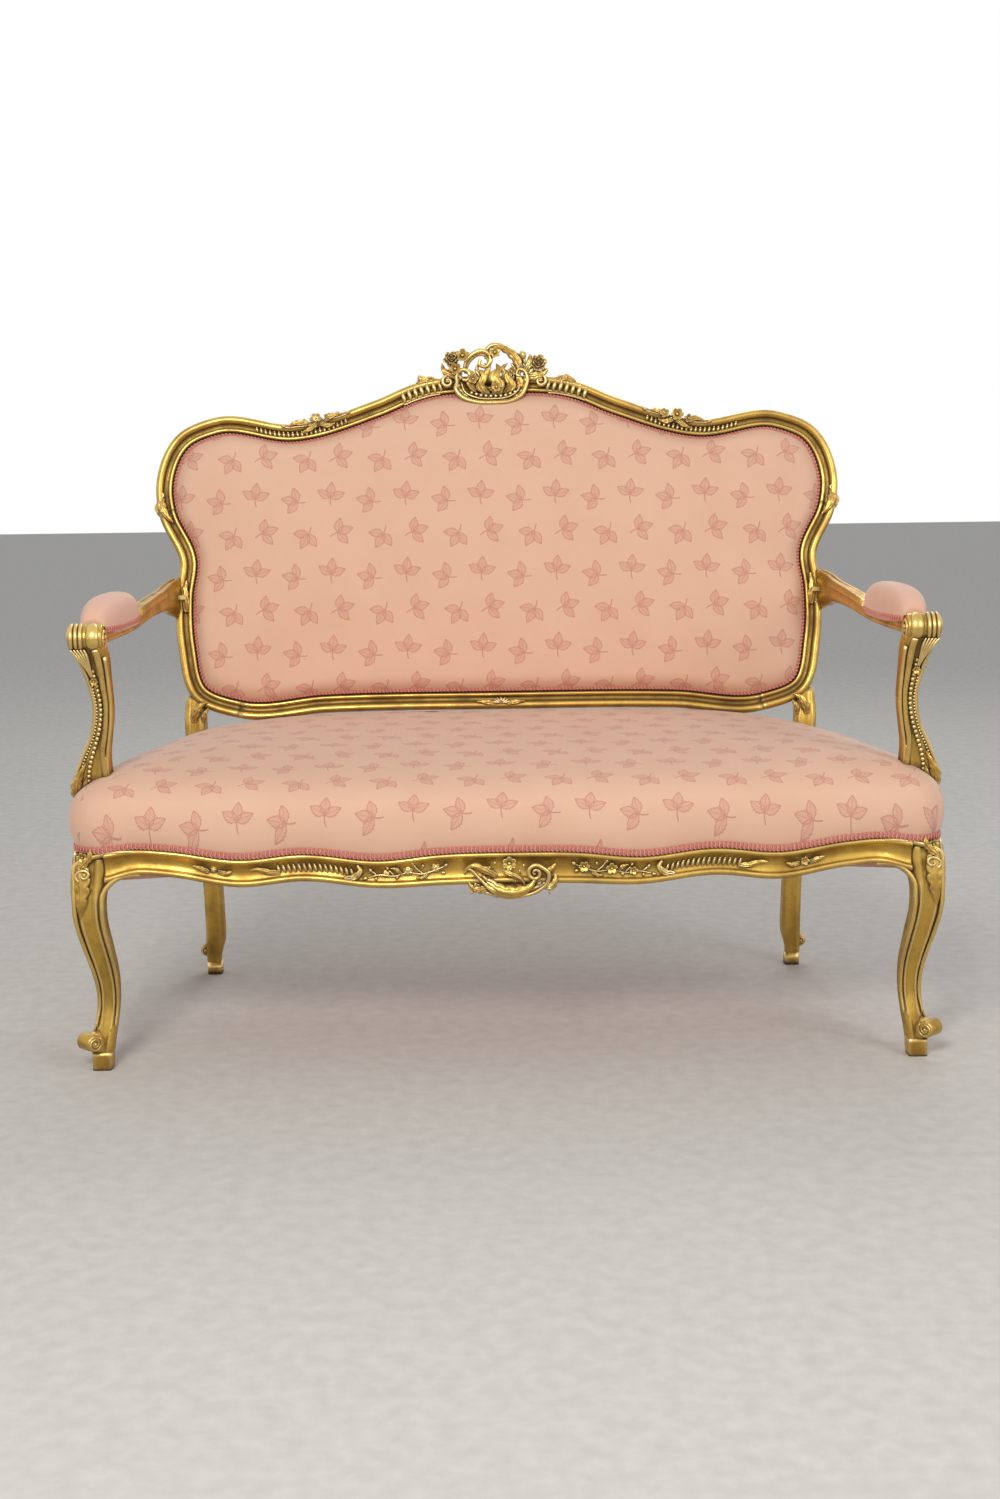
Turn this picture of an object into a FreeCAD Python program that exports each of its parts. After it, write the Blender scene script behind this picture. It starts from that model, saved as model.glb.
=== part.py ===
import FreeCAD, Part
import math
import os

# A carved giltwood settee: serpentine seat, cabriole legs, open arms, a shaped and raked padded back.
# Millimetres, Z up. X runs across the settee, Y from front to back.

V = FreeCAD.Vector

# Plan and heights
foot_half_front = 616.0
foot_half_back = 512.0
leg_line_back = 512.0
origin_setback = 292.34
rail_thick = 34.0
rail_rise = 18.0
rabbet = 6.0
rail_drop_back = 288.0
soft_gap = 0.3
joint_gap = 0.1

# Rail face in plan, right half, from the middle of the front to the back corner
bow_centre = -50.0
bow_third = -38.0
bow_end = -24.0
corner_x = foot_half_front + 25.0
side_front_x = foot_half_front + 29.0
side_back_x = 549.0
side_mid_x = side_front_x * 0.5 + side_back_x * 0.5 + 7.0
bow_third_x = foot_half_front * 0.503
bow_end_x = foot_half_front - 56.0
side_back_y = 490.0
seat_back_y = 498.0

# Wave of the front rail: heights of its upper and lower edge
crest_mid = 335.0
crest_low_in = 324.0
crest_third = 334.0
crest_low_out = 326.0
crest_knee = 342.0
crest_side = 336.0
hem_mid = 288.0
hem_low_in = 282.0
hem_third = 293.0
hem_low_out = 284.5
hem_knee = 303.0
hem_side = 290.0
rail_bead = 4.2

# Cabriole front leg: height, outward set and half width at each stage
foot_half_width = 15.5
foot_height = 28.0
ankle_set = -11.5
ankle_half = 15.0
knee_set = 8.0
knee_half = 23.0
block_set = 3.0
block_half = 25.5
knee_drop = 41.0
knee_height = hem_knee - knee_drop
ankle_height = 100.0
scroll_radius = 12.5
scroll_length = 25.0

# Back leg
back_foot_half = 12.0
back_shin_half = 17.0
back_top_half = 19.0
back_splay = 12.0

# Back frame: it leans, and its outline is given as the middle line of the moulding
back_face_y = 500.0
back_base_z = 450.0
back_rake = 0.20
frame_face = 31.0
frame_depth = 40.0
frame_bead = 6.5
frame_bead_in = 3.6
ledge_reach = 12.0
ledge_front = 14.0
ledge_thick = 15.0
loop_x = 452.0
loop_z = 474.0
lower_mid_z = 484.0
stile_x = 541.0
back_top_x = stile_x - 12.0
back_seat_x = back_top_x - 5.5
stile_z = 580.0
arm_mark_x = 544.0
arm_mark_z = 668.0
waist_x = 537.0
waist_z = 725.0
lobe_x = 577.0
lobe_z = 852.0
shoulder_x = 520.0
shoulder_z = 947.0
dip_x = 352.0
dip_z = 943.0
rise_x = 206.0
rise_z = 983.0
apex_z = 1022.0
joint_z = 812.0

# Arms and their supports
arm_support_y = 72.0
support_foot_half = 30.0
support_waist_half = 14.0
support_head_half = 27.0
support_top_z = 637.0
arm_width = 38.0
arm_height = 28.0
arm_scroll_radius = 21.0
arm_scroll_y = 36.0
arm_front_x = foot_half_front + 5.0
arm_z = 646.0
arm_end_x = stile_x + 20.0
pad_bed_z = 657.0
pad_front_y = 78.0
pad_back_y = 286.0
pad_half = 29.0
pad_rise = 47.0

# Joints of the frame
tenon_thick = 12.0
tenon_tall = 28.0
tenon_long = 20.0
peg_half = 3.5
block_leg = 62.0
block_tall = 40.0
nail_half = 1.8
nail_head = 3.6
nail_long = 38.0
brace_width = 44.0
brace_tall = 26.0

# Upholstery
cloth = 1.6
hessian_thick = 1.2
web_width = 50.0
web_thick = 1.5
seat_webs_across = 3
seat_webs_deep = 9
spring_rows = 2
spring_columns = 6
spring_radius = 30.0
spring_wire = 3.4
spring_turns = 3
turn_flats = 4
gimp_width = 11.0
gimp_thick = 2.4
seat_crown_z = 467.0
seat_bulge = 9.0
dust_sag = 16.0
back_crown = 37.0
back_webs_across = 3
back_webs_up = 7

# Carved ornaments
cartouche_half = 62.0
cartouche_tip_z = 1089.0
cartouche_basin_z = 1014.0
cartouche_thick = 24.0
fan_lobes = 7
rail_shell_half = 66.0
rail_shell_tip_z = 264.0
rail_shell_thick = 13.0
leaf_thick = 9.0

fine_step = math.radians(24)
coarse_step = math.radians(26)
flat_enough = 1.1
rake_angle = math.atan(back_rake)
lift = 1.0 / math.cos(rake_angle)
pieces = {}


def keep(name, shape):
    pieces[name] = shape
    return shape


def mirrored(shape):
    return shape.mirror(V(0, 0, 0), V(1, 0, 0))


def both(name, shape):
    keep("right_" + name, shape)
    keep("left_" + name, mirrored(shape))
    return shape


def chain(points):
    return Part.makePolygon(points + [points[0]])


def arc_from(a, way, b):
    # the arc that leaves a along way and ends in b, with the direction it ends in
    chord = b.sub(a)
    side = V(-way.y, way.x, 0)
    lean_in = 2 * chord.dot(side)
    if abs(lean_in) < 1e-5 * chord.Length:
        return Part.LineSegment(a, b).toShape(), way
    reach = chord.dot(chord) / lean_in
    centre = a + side * reach
    middle = ((a + b) * 0.5).sub(centre)
    middle.normalize()
    top = centre + middle * abs(reach)
    spin = b.sub(centre)
    leaving = V(-spin.y, spin.x, 0) if reach > 0 else V(spin.y, -spin.x, 0)
    leaving.normalize()
    return Part.Arc(a, top, b).toShape(), leaving


def joint_between(a, way_a, b, way_b):
    # where two arcs meet that carry one direction over into the next
    gap = b.sub(a)
    spread = 2 * (1 - way_a.dot(way_b))
    if spread < 1e-7:
        handle = gap.dot(gap) / (4 * gap.dot(way_b))
    else:
        along = gap.dot(way_a + way_b)
        handle = (-along + math.sqrt(along * along + spread * gap.dot(gap))) / spread
    return (a + way_a * handle + b - way_b * handle) * 0.5


def stations(marks, step):
    # points and directions along the arcs, closer together where the line turns
    found = []
    for (a, way_a), (b, way_b) in zip(marks, marks[1:]):
        joint = joint_between(a, way_a, b, way_b)
        first, turned = arc_from(a, way_a, joint)
        second, ending = arc_from(joint, turned, b)
        bent = sum(e.Length ** 2 / e.Curve.Radius for e in (first, second) if not isinstance(e.Curve, Part.Line))
        if bent / 4 < flat_enough and way_a.dot(way_b) > math.cos(step):
            found.append((a, way_a))
            continue
        for edge, start, away in ((first, a, way_a), (second, joint, turned)):
            turn = 0.0
            if not isinstance(edge.Curve, Part.Line):
                turn = edge.Length / edge.Curve.Radius
            count = max(1, int(math.ceil(turn / step)))
            places = [edge.FirstParameter + (edge.LastParameter - edge.FirstParameter) * i / count
                      for i in range(count + 1)]
            if (edge.valueAt(places[0]) - start).Length > edge.Length / 2:
                places.reverse()
            for place in places[:-1]:
                way = edge.tangentAt(place)
                if way.dot(away) < 0:
                    way = way * -1
                found.append((edge.valueAt(place), V(way)))
                away = way
    return found + [marks[-1]]


def chords(marks, step=fine_step):
    # the line of arcs drawn with short straights
    return Part.makePolygon([p for p, way in stations(marks, step)])


def marked(points, closed=False):
    # the points of a smooth line with its direction at each; a closed one runs on past its seam
    spare = 6 if closed else 0
    run = points[len(points) - spare:] + points + points[:spare]
    line = Part.BSplineCurve()
    line.interpolate(Points=run, PeriodicFlag=False)
    edge = line.toShape()
    places = line.getKnots()
    marks = [(V(p), V(edge.tangentAt(at))) for p, at in zip(run, places)]
    return marks[spare:spare + len(points)]


def curve_wire(points, closed=False):
    marks = marked(points, closed)
    if closed:
        marks = marks + [marks[0]]
    return chords(marks)


def prism(edges, reach):
    return Part.Face(Part.Wire(edges)).extrude(reach)


def block(x0, x1, y0, y1, z0, z1):
    return Part.makeBox(x1 - x0, y1 - y0, z1 - z0, V(x0, y0, z0))


def loft(wires):
    # a closed form through rings of as many corners each, drawn with flat facets
    rings = [[v.Point for v in w.OrderedVertexes] for w in wires]
    faces = []
    for low, high in zip(rings, rings[1:]):
        count = len(low)
        for i in range(count):
            j = (i + 1) % count
            for corners in ((low[i], low[j], high[j]), (low[i], high[j], high[i])):
                faces.append(Part.Face(Part.makePolygon(list(corners) + [corners[0]])))
    faces = [Part.Face(chain(rings[0]))] + faces + [Part.Face(chain(rings[-1]))]
    shell = Part.makeShell(faces)
    shell.sewShape(0.001)
    body = Part.makeSolid(shell)
    if body.Volume < 0:
        return loft(wires[::-1])
    return body


def drum(radius, length, start, way, sides=12):
    # a round bar drawn with flats
    way = V(way).normalize()
    side = V(0, 0, 1).cross(way) if abs(way.z) < 0.9 else V(1, 0, 0)
    side.normalize()
    other = way.cross(side)
    points = []
    for i in range(sides):
        turn = 2 * math.pi * (i + 0.5) / sides
        points.append(start + side * (radius * math.cos(turn)) + other * (radius * math.sin(turn)))
    return Part.Face(chain(points)).extrude(way * length)


def soft_square(cx, cy, z, hx, hy, share=0.45):
    # a level rectangle with its corners taken off
    c = min(hx, hy) * share * 0.9
    points = []
    for sx, sy in ((1, -1), (1, 1), (-1, 1), (-1, -1)):
        a = V(cx + sx * hx, cy + sy * (hy - c), z)
        b = V(cx + sx * (hx - c), cy + sy * hy, z)
        points = points + ([b, a] if sx * sy < 0 else [a, b])
    return chain(points)


def upright(shape):
    # from the flat drawing of the back (x across, y up the slope, z towards the sitter) to its place
    spot = FreeCAD.Placement()
    spot.Base = V(0, back_face_y, back_base_z)
    spot.Rotation = FreeCAD.Rotation(V(1, 0, 0), 90.0 - math.degrees(rake_angle))
    turned = shape.copy()
    turned.Placement = spot.multiply(turned.Placement)
    return turned


def slope(z):
    return (z - back_base_z) * lift


# The plan of the rail face, once around, and the same line moved in or out
plan_half = [
    V(0, bow_centre, 0),
    V(bow_third_x, bow_third, 0),
    V(bow_end_x, bow_end, 0),
    V(corner_x - 22, bow_end + 5, 0),
    V(corner_x, bow_end + 26, 0),
    V(side_front_x, 50, 0),
    V(side_mid_x, 290, 0),
    V(side_back_x, side_back_y - 25, 0),
    V(side_back_x - 14, side_back_y + 2, 0),
    V(side_back_x - 60, seat_back_y, 0)]
plan_ring = plan_half + [V(0, seat_back_y, 0)] + [V(-p.x, p.y, 0) for p in reversed(plan_half[1:])]
plan_marks = marked(plan_ring, True)
plan_marks = stations(plan_marks + [plan_marks[0]], fine_step)


def shifted(marks, offset, height, shrink_x=1.0, shrink_y=1.0, middle_y=0.0):
    # a closed line moved outwards, drawn in towards its middle and set at a height
    points = []
    for p, t in marks:
        x = (p.x + t.y * offset) * shrink_x
        y = middle_y + (p.y - t.x * offset - middle_y) * shrink_y
        points.append(V(x, y, height))
    return Part.makePolygon(points)


def plan(offset, z, inset=0.0):
    middle_y = (bow_centre + seat_back_y) / 2
    share_x = 1 - inset / corner_x
    share_y = 1 - inset / (seat_back_y - middle_y)
    return shifted(plan_marks, offset, z, share_x, share_y, middle_y)


def plan_prism(offset, z0, z1):
    # a level slab of the plan, its edge moved in parallel to the rail face
    line = plan(0, z0)
    if offset:
        line = line.makeOffset2D(offset, 2)
    return Part.Face(line).extrude(V(0, 0, z1 - z0))


def wave(mid, low_in, third, low_out, knee, side):
    out = foot_half_front
    half = [(0, mid), (out * 0.162, mid - 2), (out * 0.308, low_in), (out * 0.495, third),
            (out * 0.649, low_out), (out * 0.812, knee - 3), (out - 66, knee), (out - 11, side), (out + 84, side)]
    return [V(-x, z, 0) for x, z in reversed(half[1:])] + [V(x, z, 0) for x, z in half]


upper_wave = wave(crest_mid, crest_low_in, crest_third, crest_low_out, crest_knee, crest_side)
lower_wave = wave(hem_mid, hem_low_in, hem_third, hem_low_out, hem_knee, hem_side)


def standing(shape, y):
    # from a drawing seen from the front to its place at depth y
    turned = shape.copy()
    turned.Placement = FreeCAD.Placement(V(0, y, 0), FreeCAD.Rotation(V(1, 0, 0), 90)).multiply(turned.Placement)
    return turned


def region(points, z_far, depth, rise=0.0):
    # everything between a wavy line and a level, drawn through the whole depth
    line = curve_wire([V(p.x, p.y + rise, 0) for p in points])
    a = V(points[0].x, points[0].y + rise, 0)
    b = V(points[-1].x, points[-1].y + rise, 0)
    c = V(b.x, z_far, 0)
    d = V(a.x, z_far, 0)
    sides = [Part.LineSegment(b, c).toShape(), Part.LineSegment(c, d).toShape(),
             Part.LineSegment(d, a).toShape()]
    body = Part.Face(Part.Wire(line.Edges + sides)).extrude(V(0, 0, -depth))
    return standing(body, front_far)


front_far = -140.0
far_x = corner_x + 160.0
all_deep = 800.0
rail_top_z = crest_knee + rail_rise - 8
above_crest = region(upper_wave, 700, all_deep)
below_crest = region(upper_wave, 0, all_deep, -joint_gap)
above_hem = region(lower_wave, 700, all_deep)
collar = above_crest.cut(plan_prism(-rabbet, 200, 720))
rail_band = plan_prism(0, 200, rail_top_z).cut(plan_prism(-rail_thick, 150, 760))
rail_band = rail_band.cut(collar).common(above_hem)


# Front legs: a cabriole shaft on a small block foot, with an outward scroll above the foot
def leg_stage(z, out, half):
    return soft_square(foot_half_front + out, -out, z, half, half)


leg_stages = [
    leg_stage(foot_height - 8, 0, foot_half_width),
    leg_stage(foot_height + 14, -2.5, foot_half_width + 0.5),
    leg_stage(ankle_height - 30, -7, ankle_half + 1),
    leg_stage(ankle_height, ankle_set, ankle_half),
    leg_stage(ankle_height + 40, ankle_set + 1.5, ankle_half + 2),
    leg_stage((ankle_height + knee_height) / 2 + 5, -1.5, (ankle_half + knee_half) / 2 + 1),
    leg_stage(knee_height - 30, knee_set - 1, knee_half - 1),
    leg_stage(knee_height, knee_set, knee_half),
    leg_stage(knee_height + 30, block_set + 2.5, block_half),
    leg_stage(rail_top_z, block_set, block_half)]
leg = loft(leg_stages)
foot = loft([soft_square(foot_half_front + 1, 0, 0, foot_half_width - 1, foot_half_width - 1, 0.25),
             soft_square(foot_half_front, 0, foot_height - 8, foot_half_width, foot_half_width, 0.25)])
diagonal = V(1, -1, 0).normalize()
across = V(1, 1, 0).normalize()
scroll_out = foot_half_width + 9.0
scroll_mid = V(foot_half_front, 0, foot_height + 18) + diagonal * scroll_out
scroll = drum(scroll_radius, scroll_length, scroll_mid - across * (scroll_length / 2), across)
eye = drum(scroll_radius * 0.42, scroll_length + 6,
           scroll_mid - across * (scroll_length / 2 + 3), across, 8)
toe = drum(scroll_radius * 0.8, scroll_length - 6,
           scroll_mid - diagonal * 12 - V(0, 0, 7) - across * (scroll_length / 2 - 3), across, 8)
front_leg = leg.multiFuse([foot, scroll, eye, toe])
front_leg = front_leg.cut(collar)

# Seat rails, cut from one band so that their faces run on, tenoned into the legs
leg_face_x = foot_half_front + block_set - block_half
leg_back_y = -block_set + block_half
rail_bite = 3.0
front_cut = block(-leg_face_x - rail_bite, leg_face_x + rail_bite, front_far, 120, 200, 420)
front_rail = rail_band.common(front_cut)


def largest(shape):
    return max(shape.Solids, key=lambda s: s.Volume)


front_rail = largest(front_rail)
tenon_z = hem_knee + 4
tenon_y = -block_set
front_tenon = block(leg_face_x - 6, leg_face_x + tenon_long, tenon_y - tenon_thick / 2,
                    tenon_y + tenon_thick / 2, tenon_z, tenon_z + tenon_tall)
front_rail = front_rail.multiFuse([front_tenon, mirrored(front_tenon)])
print("front rail", front_rail.isValid(), len(front_rail.Solids))
front_leg = largest(front_leg.cut(front_rail))


# Back legs run on as the stiles of the back
def back_stage(z, x, y, hx, hy):
    return soft_square(x, y, z, hx, hy, 0.35)


lean = back_face_y + frame_depth / 2
back_leg_stages = [
    back_stage(0, foot_half_back - 1, leg_line_back + back_splay, back_foot_half, back_foot_half),
    back_stage(30, foot_half_back, leg_line_back + back_splay - 2, back_foot_half + 1, back_foot_half + 1),
    back_stage(64, foot_half_back - 5, leg_line_back + 2, back_shin_half, back_shin_half - 1),
    back_stage(115, foot_half_back - 5.5, leg_line_back - 4, back_shin_half, back_shin_half),
    back_stage(165, foot_half_back - 4, leg_line_back - 5, back_shin_half, back_shin_half),
    back_stage(240, (foot_half_back + back_seat_x) / 2 - 3.75, leg_line_back - 3, back_top_half - 1, back_top_half - 1),
    back_stage(320, back_seat_x, leg_line_back, back_top_half, back_top_half),
    back_stage(400, back_top_x - 3, leg_line_back + 3, back_top_half, back_top_half),
    back_stage(back_base_z, back_top_x, lean, back_top_half, back_top_half),
    back_stage(back_base_z + 44, back_top_x, lean + 44 * back_rake, back_top_half - 3, back_top_half - 2)]
back_shaft = loft(back_leg_stages)
back_scroll = drum(9.5, 22, V(foot_half_back + back_foot_half, leg_line_back + 3, 44), V(0, 1, 0), 10)

# The moulded frame of the back: an outer bead, a hollow, an inner bead and a ledge for the upholstery
line_right = [
    V(loop_x, slope(loop_z), 0),
    V(stile_x - 22, slope(loop_z + 27), 0),
    V(stile_x, slope(stile_z), 0),
    V(arm_mark_x, slope(arm_mark_z), 0),
    V(waist_x, slope(waist_z), 0),
    V(lobe_x - 4, slope(joint_z), 0),
    V(lobe_x, slope(lobe_z), 0),
    V(shoulder_x + 22, slope(shoulder_z - 14), 0),
    V(shoulder_x - 32, slope(shoulder_z + 9), 0),
    V(dip_x, slope(dip_z), 0),
    V(rise_x, slope(rise_z), 0),
    V(rise_x - 76, slope(apex_z - 9), 0)]
line_low = [V(loop_x - 150, slope(lower_mid_z - 3), 0)]
joint_index = 5


def flipped(points):
    return [V(-p.x, p.y, p.z) for p in reversed(points)]


back_ring = line_right + [V(0, slope(apex_z), 0)] + flipped(line_right)
back_ring = back_ring + [V(-p.x, p.y, 0) for p in line_low]
back_ring = back_ring + [V(0, slope(lower_mid_z - 1), 0)] + line_low[::-1]
back_marks = marked(back_ring, True)
ring_marks = stations(back_marks + [back_marks[0]], coarse_step)


def back_outline(offset, height, inset=0.0):
    high = slope(apex_z)
    middle = (slope(loop_z) + high) / 2
    return shifted(ring_marks, offset, height, 1 - inset / lobe_x, 1 - inset / (high - middle), middle)


def back_prism(offset, low, high):
    return Part.Face(back_outline(offset, low)).extrude(V(0, 0, high - low))


def seg(a, b):
    return Part.LineSegment(a, b).toShape()


def frame_profile():
    # s from the outer edge inwards, t forwards; the middle of the face lies on the line
    h = frame_face / 2
    b = frame_bead
    c = frame_bead_in
    cove_a = -h + 2 * b
    cove_b = h - 2 * c - 1
    deep = frame_depth
    corners = [
        V(cove_a, -b, 0), V(cove_a * 0.5 + cove_b * 0.5, -b - 4.5, 0), V(cove_b, -b - 1, 0),
        V(cove_b + c, -b - 1 + c * 0.8, 0), V(h, -b - 1, 0), V(h, -ledge_front, 0),
        V(h + ledge_reach, -ledge_front, 0), V(h + ledge_reach, -ledge_front - ledge_thick, 0),
        V(h, -ledge_front - ledge_thick, 0), V(h, -deep, 0), V(-h + 7, -deep, 0), V(-h, -deep + 8, 0)]
    bead = [V(-h, -b, 0), V(-h + 0.5 * b, 0, 0), V(-h + 1.5 * b, 0, 0)]
    return chain(corners + bead)


def placed_profile(profile, point, tangent):
    # s points to the left of travel, t points to the sitter
    inward = V(-tangent.y, tangent.x, 0)
    grid = FreeCAD.Matrix(inward.x, 0, tangent.x, point.x,
                          inward.y, 0, tangent.y, point.y,
                          0, 1, 0, point.z,
                          0, 0, 0, 1)
    return Part.makePolygon([grid.multVec(v.Point) for v in profile.OrderedVertexes] + [grid.multVec(profile.OrderedVertexes[0].Point)])


def swept(marks, profile):
    # the moulding carried along the line, one section to each station
    sections = [placed_profile(profile, point, way) for point, way in stations(marks, coarse_step)]
    return loft(sections)


profile = frame_profile()
ring_count = len(line_right)
stile_path = back_marks[:joint_index + 1]
crest_path = back_marks[joint_index:2 * ring_count - joint_index + 1]
low_path = back_marks[2 * ring_count:] + [back_marks[0]]
stile = swept(stile_path, profile)
crest_bar = swept(crest_path, profile)
low_bar = swept(low_path, profile)


def tongue(mark, sign, half, t_low, t_high, behind, ahead):
    # a bar along the line at one of its marks, for a tenon
    spot, way = mark
    way = way * sign
    side = V(-way.y, way.x, 0)
    base = spot - way * behind
    corners = [base - side * half, base + side * half, base + side * half, base - side * half]
    rise = (t_low, t_low, t_high, t_high)
    corners = [c + V(0, 0, r) for c, r in zip(corners, rise)]
    return Part.Face(chain(corners)).extrude(way * (behind + ahead))


tongue_low = -frame_bead - 6 - tenon_thick
tongue_high = -frame_bead - 6
tongue_half = frame_face / 2 - 8
crest_tongue = tongue(stile_path[-1], 1, tongue_half, tongue_low, tongue_high,
                      4, tenon_long)
low_tongue = tongue(low_path[-1], 1, tongue_half, tongue_low, tongue_high,
                    4, tenon_long)

crest_bar = crest_bar.cut(crest_tongue).cut(mirrored(crest_tongue))
low_bar = low_bar.multiFuse([low_tongue, mirrored(low_tongue)])
stile = stile.multiFuse([crest_tongue]).cut(low_tongue)


def bar(start, way, length, half=peg_half):
    # a square peg
    way = V(way).normalize()
    side = V(0, 0, 1).cross(way) if abs(way.z) < 0.9 else V(1, 0, 0)
    side.normalize()
    other = way.cross(side)
    corners = [start + side * (half * a) + other * (half * b) for a, b in ((-1, -1), (1, -1), (1, 1), (-1, 1))]
    return Part.Face(chain(corners)).extrude(way * length)


def cross_peg(mark, ahead):
    spot = mark[0] + mark[1] * ahead
    return bar(V(spot.x, spot.y, -frame_depth), V(0, 0, 1), frame_depth - 12)


back_pegs = [cross_peg(stile_path[-1], tenon_long / 2), cross_peg(low_path[-1], tenon_long / 2)]
for peg in back_pegs:
    crest_bar = crest_bar.cut(peg).cut(mirrored(peg))
    low_bar = low_bar.cut(peg).cut(mirrored(peg))
    stile = stile.cut(peg)

low_clear = upright(low_bar)
stile_up = upright(stile)
shaft_cap = back_shaft.cut(upright(back_prism(-frame_face / 2 + 0.5, -80, 60))).cut(low_clear)
back_leg = largest(stile_up.multiFuse([largest(shaft_cap), back_scroll]))
for peg in back_pegs:
    back_leg = back_leg.cut(upright(peg))

# Side rails and the plain back rail, tenoned into the legs
back_leg_front = leg_line_back - back_top_half
back_leg_inner = back_seat_x - back_top_half
side_cut = block(back_leg_inner - 40, corner_x + 40, 0, leg_line_back - 4, 200, 420)
side_rail = rail_band.common(side_cut).cut(front_leg).cut(back_leg).cut(front_rail)
side_rail = largest(side_rail)
side_tenon_x = foot_half_front + block_set
side_front_tenon = block(side_tenon_x - 4, side_tenon_x - 4 + tenon_thick, leg_back_y - 15,
                         leg_back_y + 6, tenon_z, tenon_z + tenon_tall)
side_back_x = back_leg_inner + back_top_half + 4
side_back_tenon = block(side_back_x, side_back_x + tenon_thick, back_leg_front - 6,
                        back_leg_front + 15, tenon_z, tenon_z + tenon_tall)
side_rail = side_rail.multiFuse([side_front_tenon.cut(front_leg.cut(side_front_tenon)), side_back_tenon])
front_leg = front_leg.cut(side_front_tenon)
back_leg = back_leg.cut(side_back_tenon)
back_rail_y = leg_line_back - 14
back_rail = block(-back_leg_inner - 8, back_leg_inner + 8, back_rail_y, back_rail_y + rail_thick - 4,
                  rail_drop_back, rail_top_z)
back_rail = largest(back_rail.cut(back_leg).cut(mirrored(back_leg)))
back_tenon_y = back_rail_y + 8
back_tenon = block(back_leg_inner - 4, back_leg_inner + 15, back_tenon_y, back_tenon_y + tenon_thick,
                   tenon_z, tenon_z + tenon_tall)
back_rail = back_rail.multiFuse([back_tenon, mirrored(back_tenon)])
back_leg = back_leg.cut(back_tenon)

# A rebate along the inside of the rails takes the webbing and the dust cover
web_z = hem_knee + 4
rebate = plan_prism(-rail_thick + 13, 150, web_z)
front_rail = front_rail.cut(rebate)
side_rail = side_rail.cut(rebate)
back_rail = back_rail.cut(block(-back_leg_inner, back_leg_inner, back_rail_y - 1, back_rail_y + 13, 150, web_z))

# A stretcher under the middle of the seat, dovetailed between the front and back rails
brace_front = bow_centre + rail_thick
brace_z = web_z + 3 * web_thick
brace = block(-brace_width / 2, brace_width / 2, brace_front - 10, back_rail_y + 10, brace_z, brace_z + brace_tall)
brace_bite = brace.copy()
front_rail = front_rail.cut(brace_bite)
back_rail = back_rail.cut(brace_bite)

# Corner blocks glued and screwed into the four corners of the seat frame
block_z = web_z + 3 * web_thick
front_block = prism(chain([V(leg_face_x - block_leg, 0, block_z), V(corner_x, 0, block_z),
                           V(corner_x, leg_back_y + block_leg + 14, block_z),
                           V(corner_x - rail_thick - 6, leg_back_y + block_leg, block_z)]).Edges,
                    V(0, 0, block_tall - 6))
front_block = largest(front_block.cut(front_leg).cut(front_rail).cut(side_rail))
back_block = prism(chain([V(back_leg_inner - block_leg, back_rail_y + 6, block_z),
                          V(back_leg_inner + 40, back_rail_y + 6, block_z),
                          V(back_leg_inner + 40, back_leg_front - block_leg - 10, block_z),
                          V(back_leg_inner + 16, back_leg_front - block_leg, block_z)]).Edges,
                   V(0, 0, block_tall - 6))
back_block = largest(back_block.cut(back_leg).cut(back_rail).cut(side_rail))
nail_z = block_z + block_tall / 2 - 3


def nail(start, way):
    # a cut nail: a square shank under a flat head
    return bar(start, way, nail_long, nail_half).fuse(bar(start, way, 2.4, nail_head))


nail_spots = [
    (V(leg_face_x - block_leg * 0.45, bow_end + rail_thick + 17, nail_z), V(0, -1, 0)),
    (V(corner_x - rail_thick - 14, leg_back_y + block_leg * 0.5, nail_z), V(1, 0, 0)),
    (V(back_leg_inner - block_leg * 0.4, back_rail_y - 16, nail_z), V(0, 1, 0)),
    (V(back_leg_inner + 8, back_leg_front - block_leg * 0.5, nail_z), V(1, 0, 0))]
nails = []
for start, way in nail_spots:
    one = nail(start, way)
    nails.append(one)
    room = one.fuse(bar(start - way * 60, way, 60, nail_head))
    front_block = front_block.cut(room)
    back_block = back_block.cut(room)
    front_rail = front_rail.cut(one).cut(mirrored(one))
    side_rail = side_rail.cut(one)
    back_rail = back_rail.cut(one).cut(mirrored(one))

# Arms: a scrolled hand-hold, a flat bed for the pad, and a sweep into the stile
def arm_stage(y, x, z, hx, hz):
    flat = soft_square(x, z, 0, hx, hz, 0.6)
    turn = FreeCAD.Placement(V(0, y, 0), FreeCAD.Rotation(V(1, 0, 0), 90))
    flat.Placement = turn
    return flat


ah = arm_height / 2
aw = arm_width / 2
arm_stages = [
    arm_stage(arm_scroll_y - 6, arm_front_x - 1, arm_z + 3, aw + 2, ah),
    arm_stage(arm_scroll_y + 40, arm_front_x, arm_z, aw + 1, ah),
    arm_stage(150, arm_front_x - 6, arm_z - 1, aw, ah),
    arm_stage(pad_back_y - 20, arm_front_x - 21, arm_z + 3, aw, ah),
    arm_stage(360, (arm_front_x + arm_end_x) / 2 - 5, arm_z + 14, aw - 2, ah + 1),
    arm_stage(450, arm_end_x + 10, arm_z + 21, aw - 5, ah + 5),
    arm_stage(520, arm_end_x + 2, arm_z + 20, aw - 8, ah + 17),
    arm_stage(560, arm_end_x - 4, arm_z + 18, aw - 10, ah + 24)]
arm = loft(arm_stages)
arm_scroll = drum(arm_scroll_radius, arm_width + 14, V(arm_front_x - aw - 7, arm_scroll_y, arm_z + 4),
                               V(1, 0, 0))
arm = arm.fuse(arm_scroll)
arm = arm.cut(block(stile_x - 41, far_x, pad_front_y - 2, pad_back_y + 2, pad_bed_z, 760))
arm = largest(arm.cut(stile_up).cut(upright(back_prism(-frame_face / 2 + 4, -90, 90))))


def support_stage(z, x, hx, y, hy):
    return soft_square(x, y, z, hx, hy, 0.5)


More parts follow.
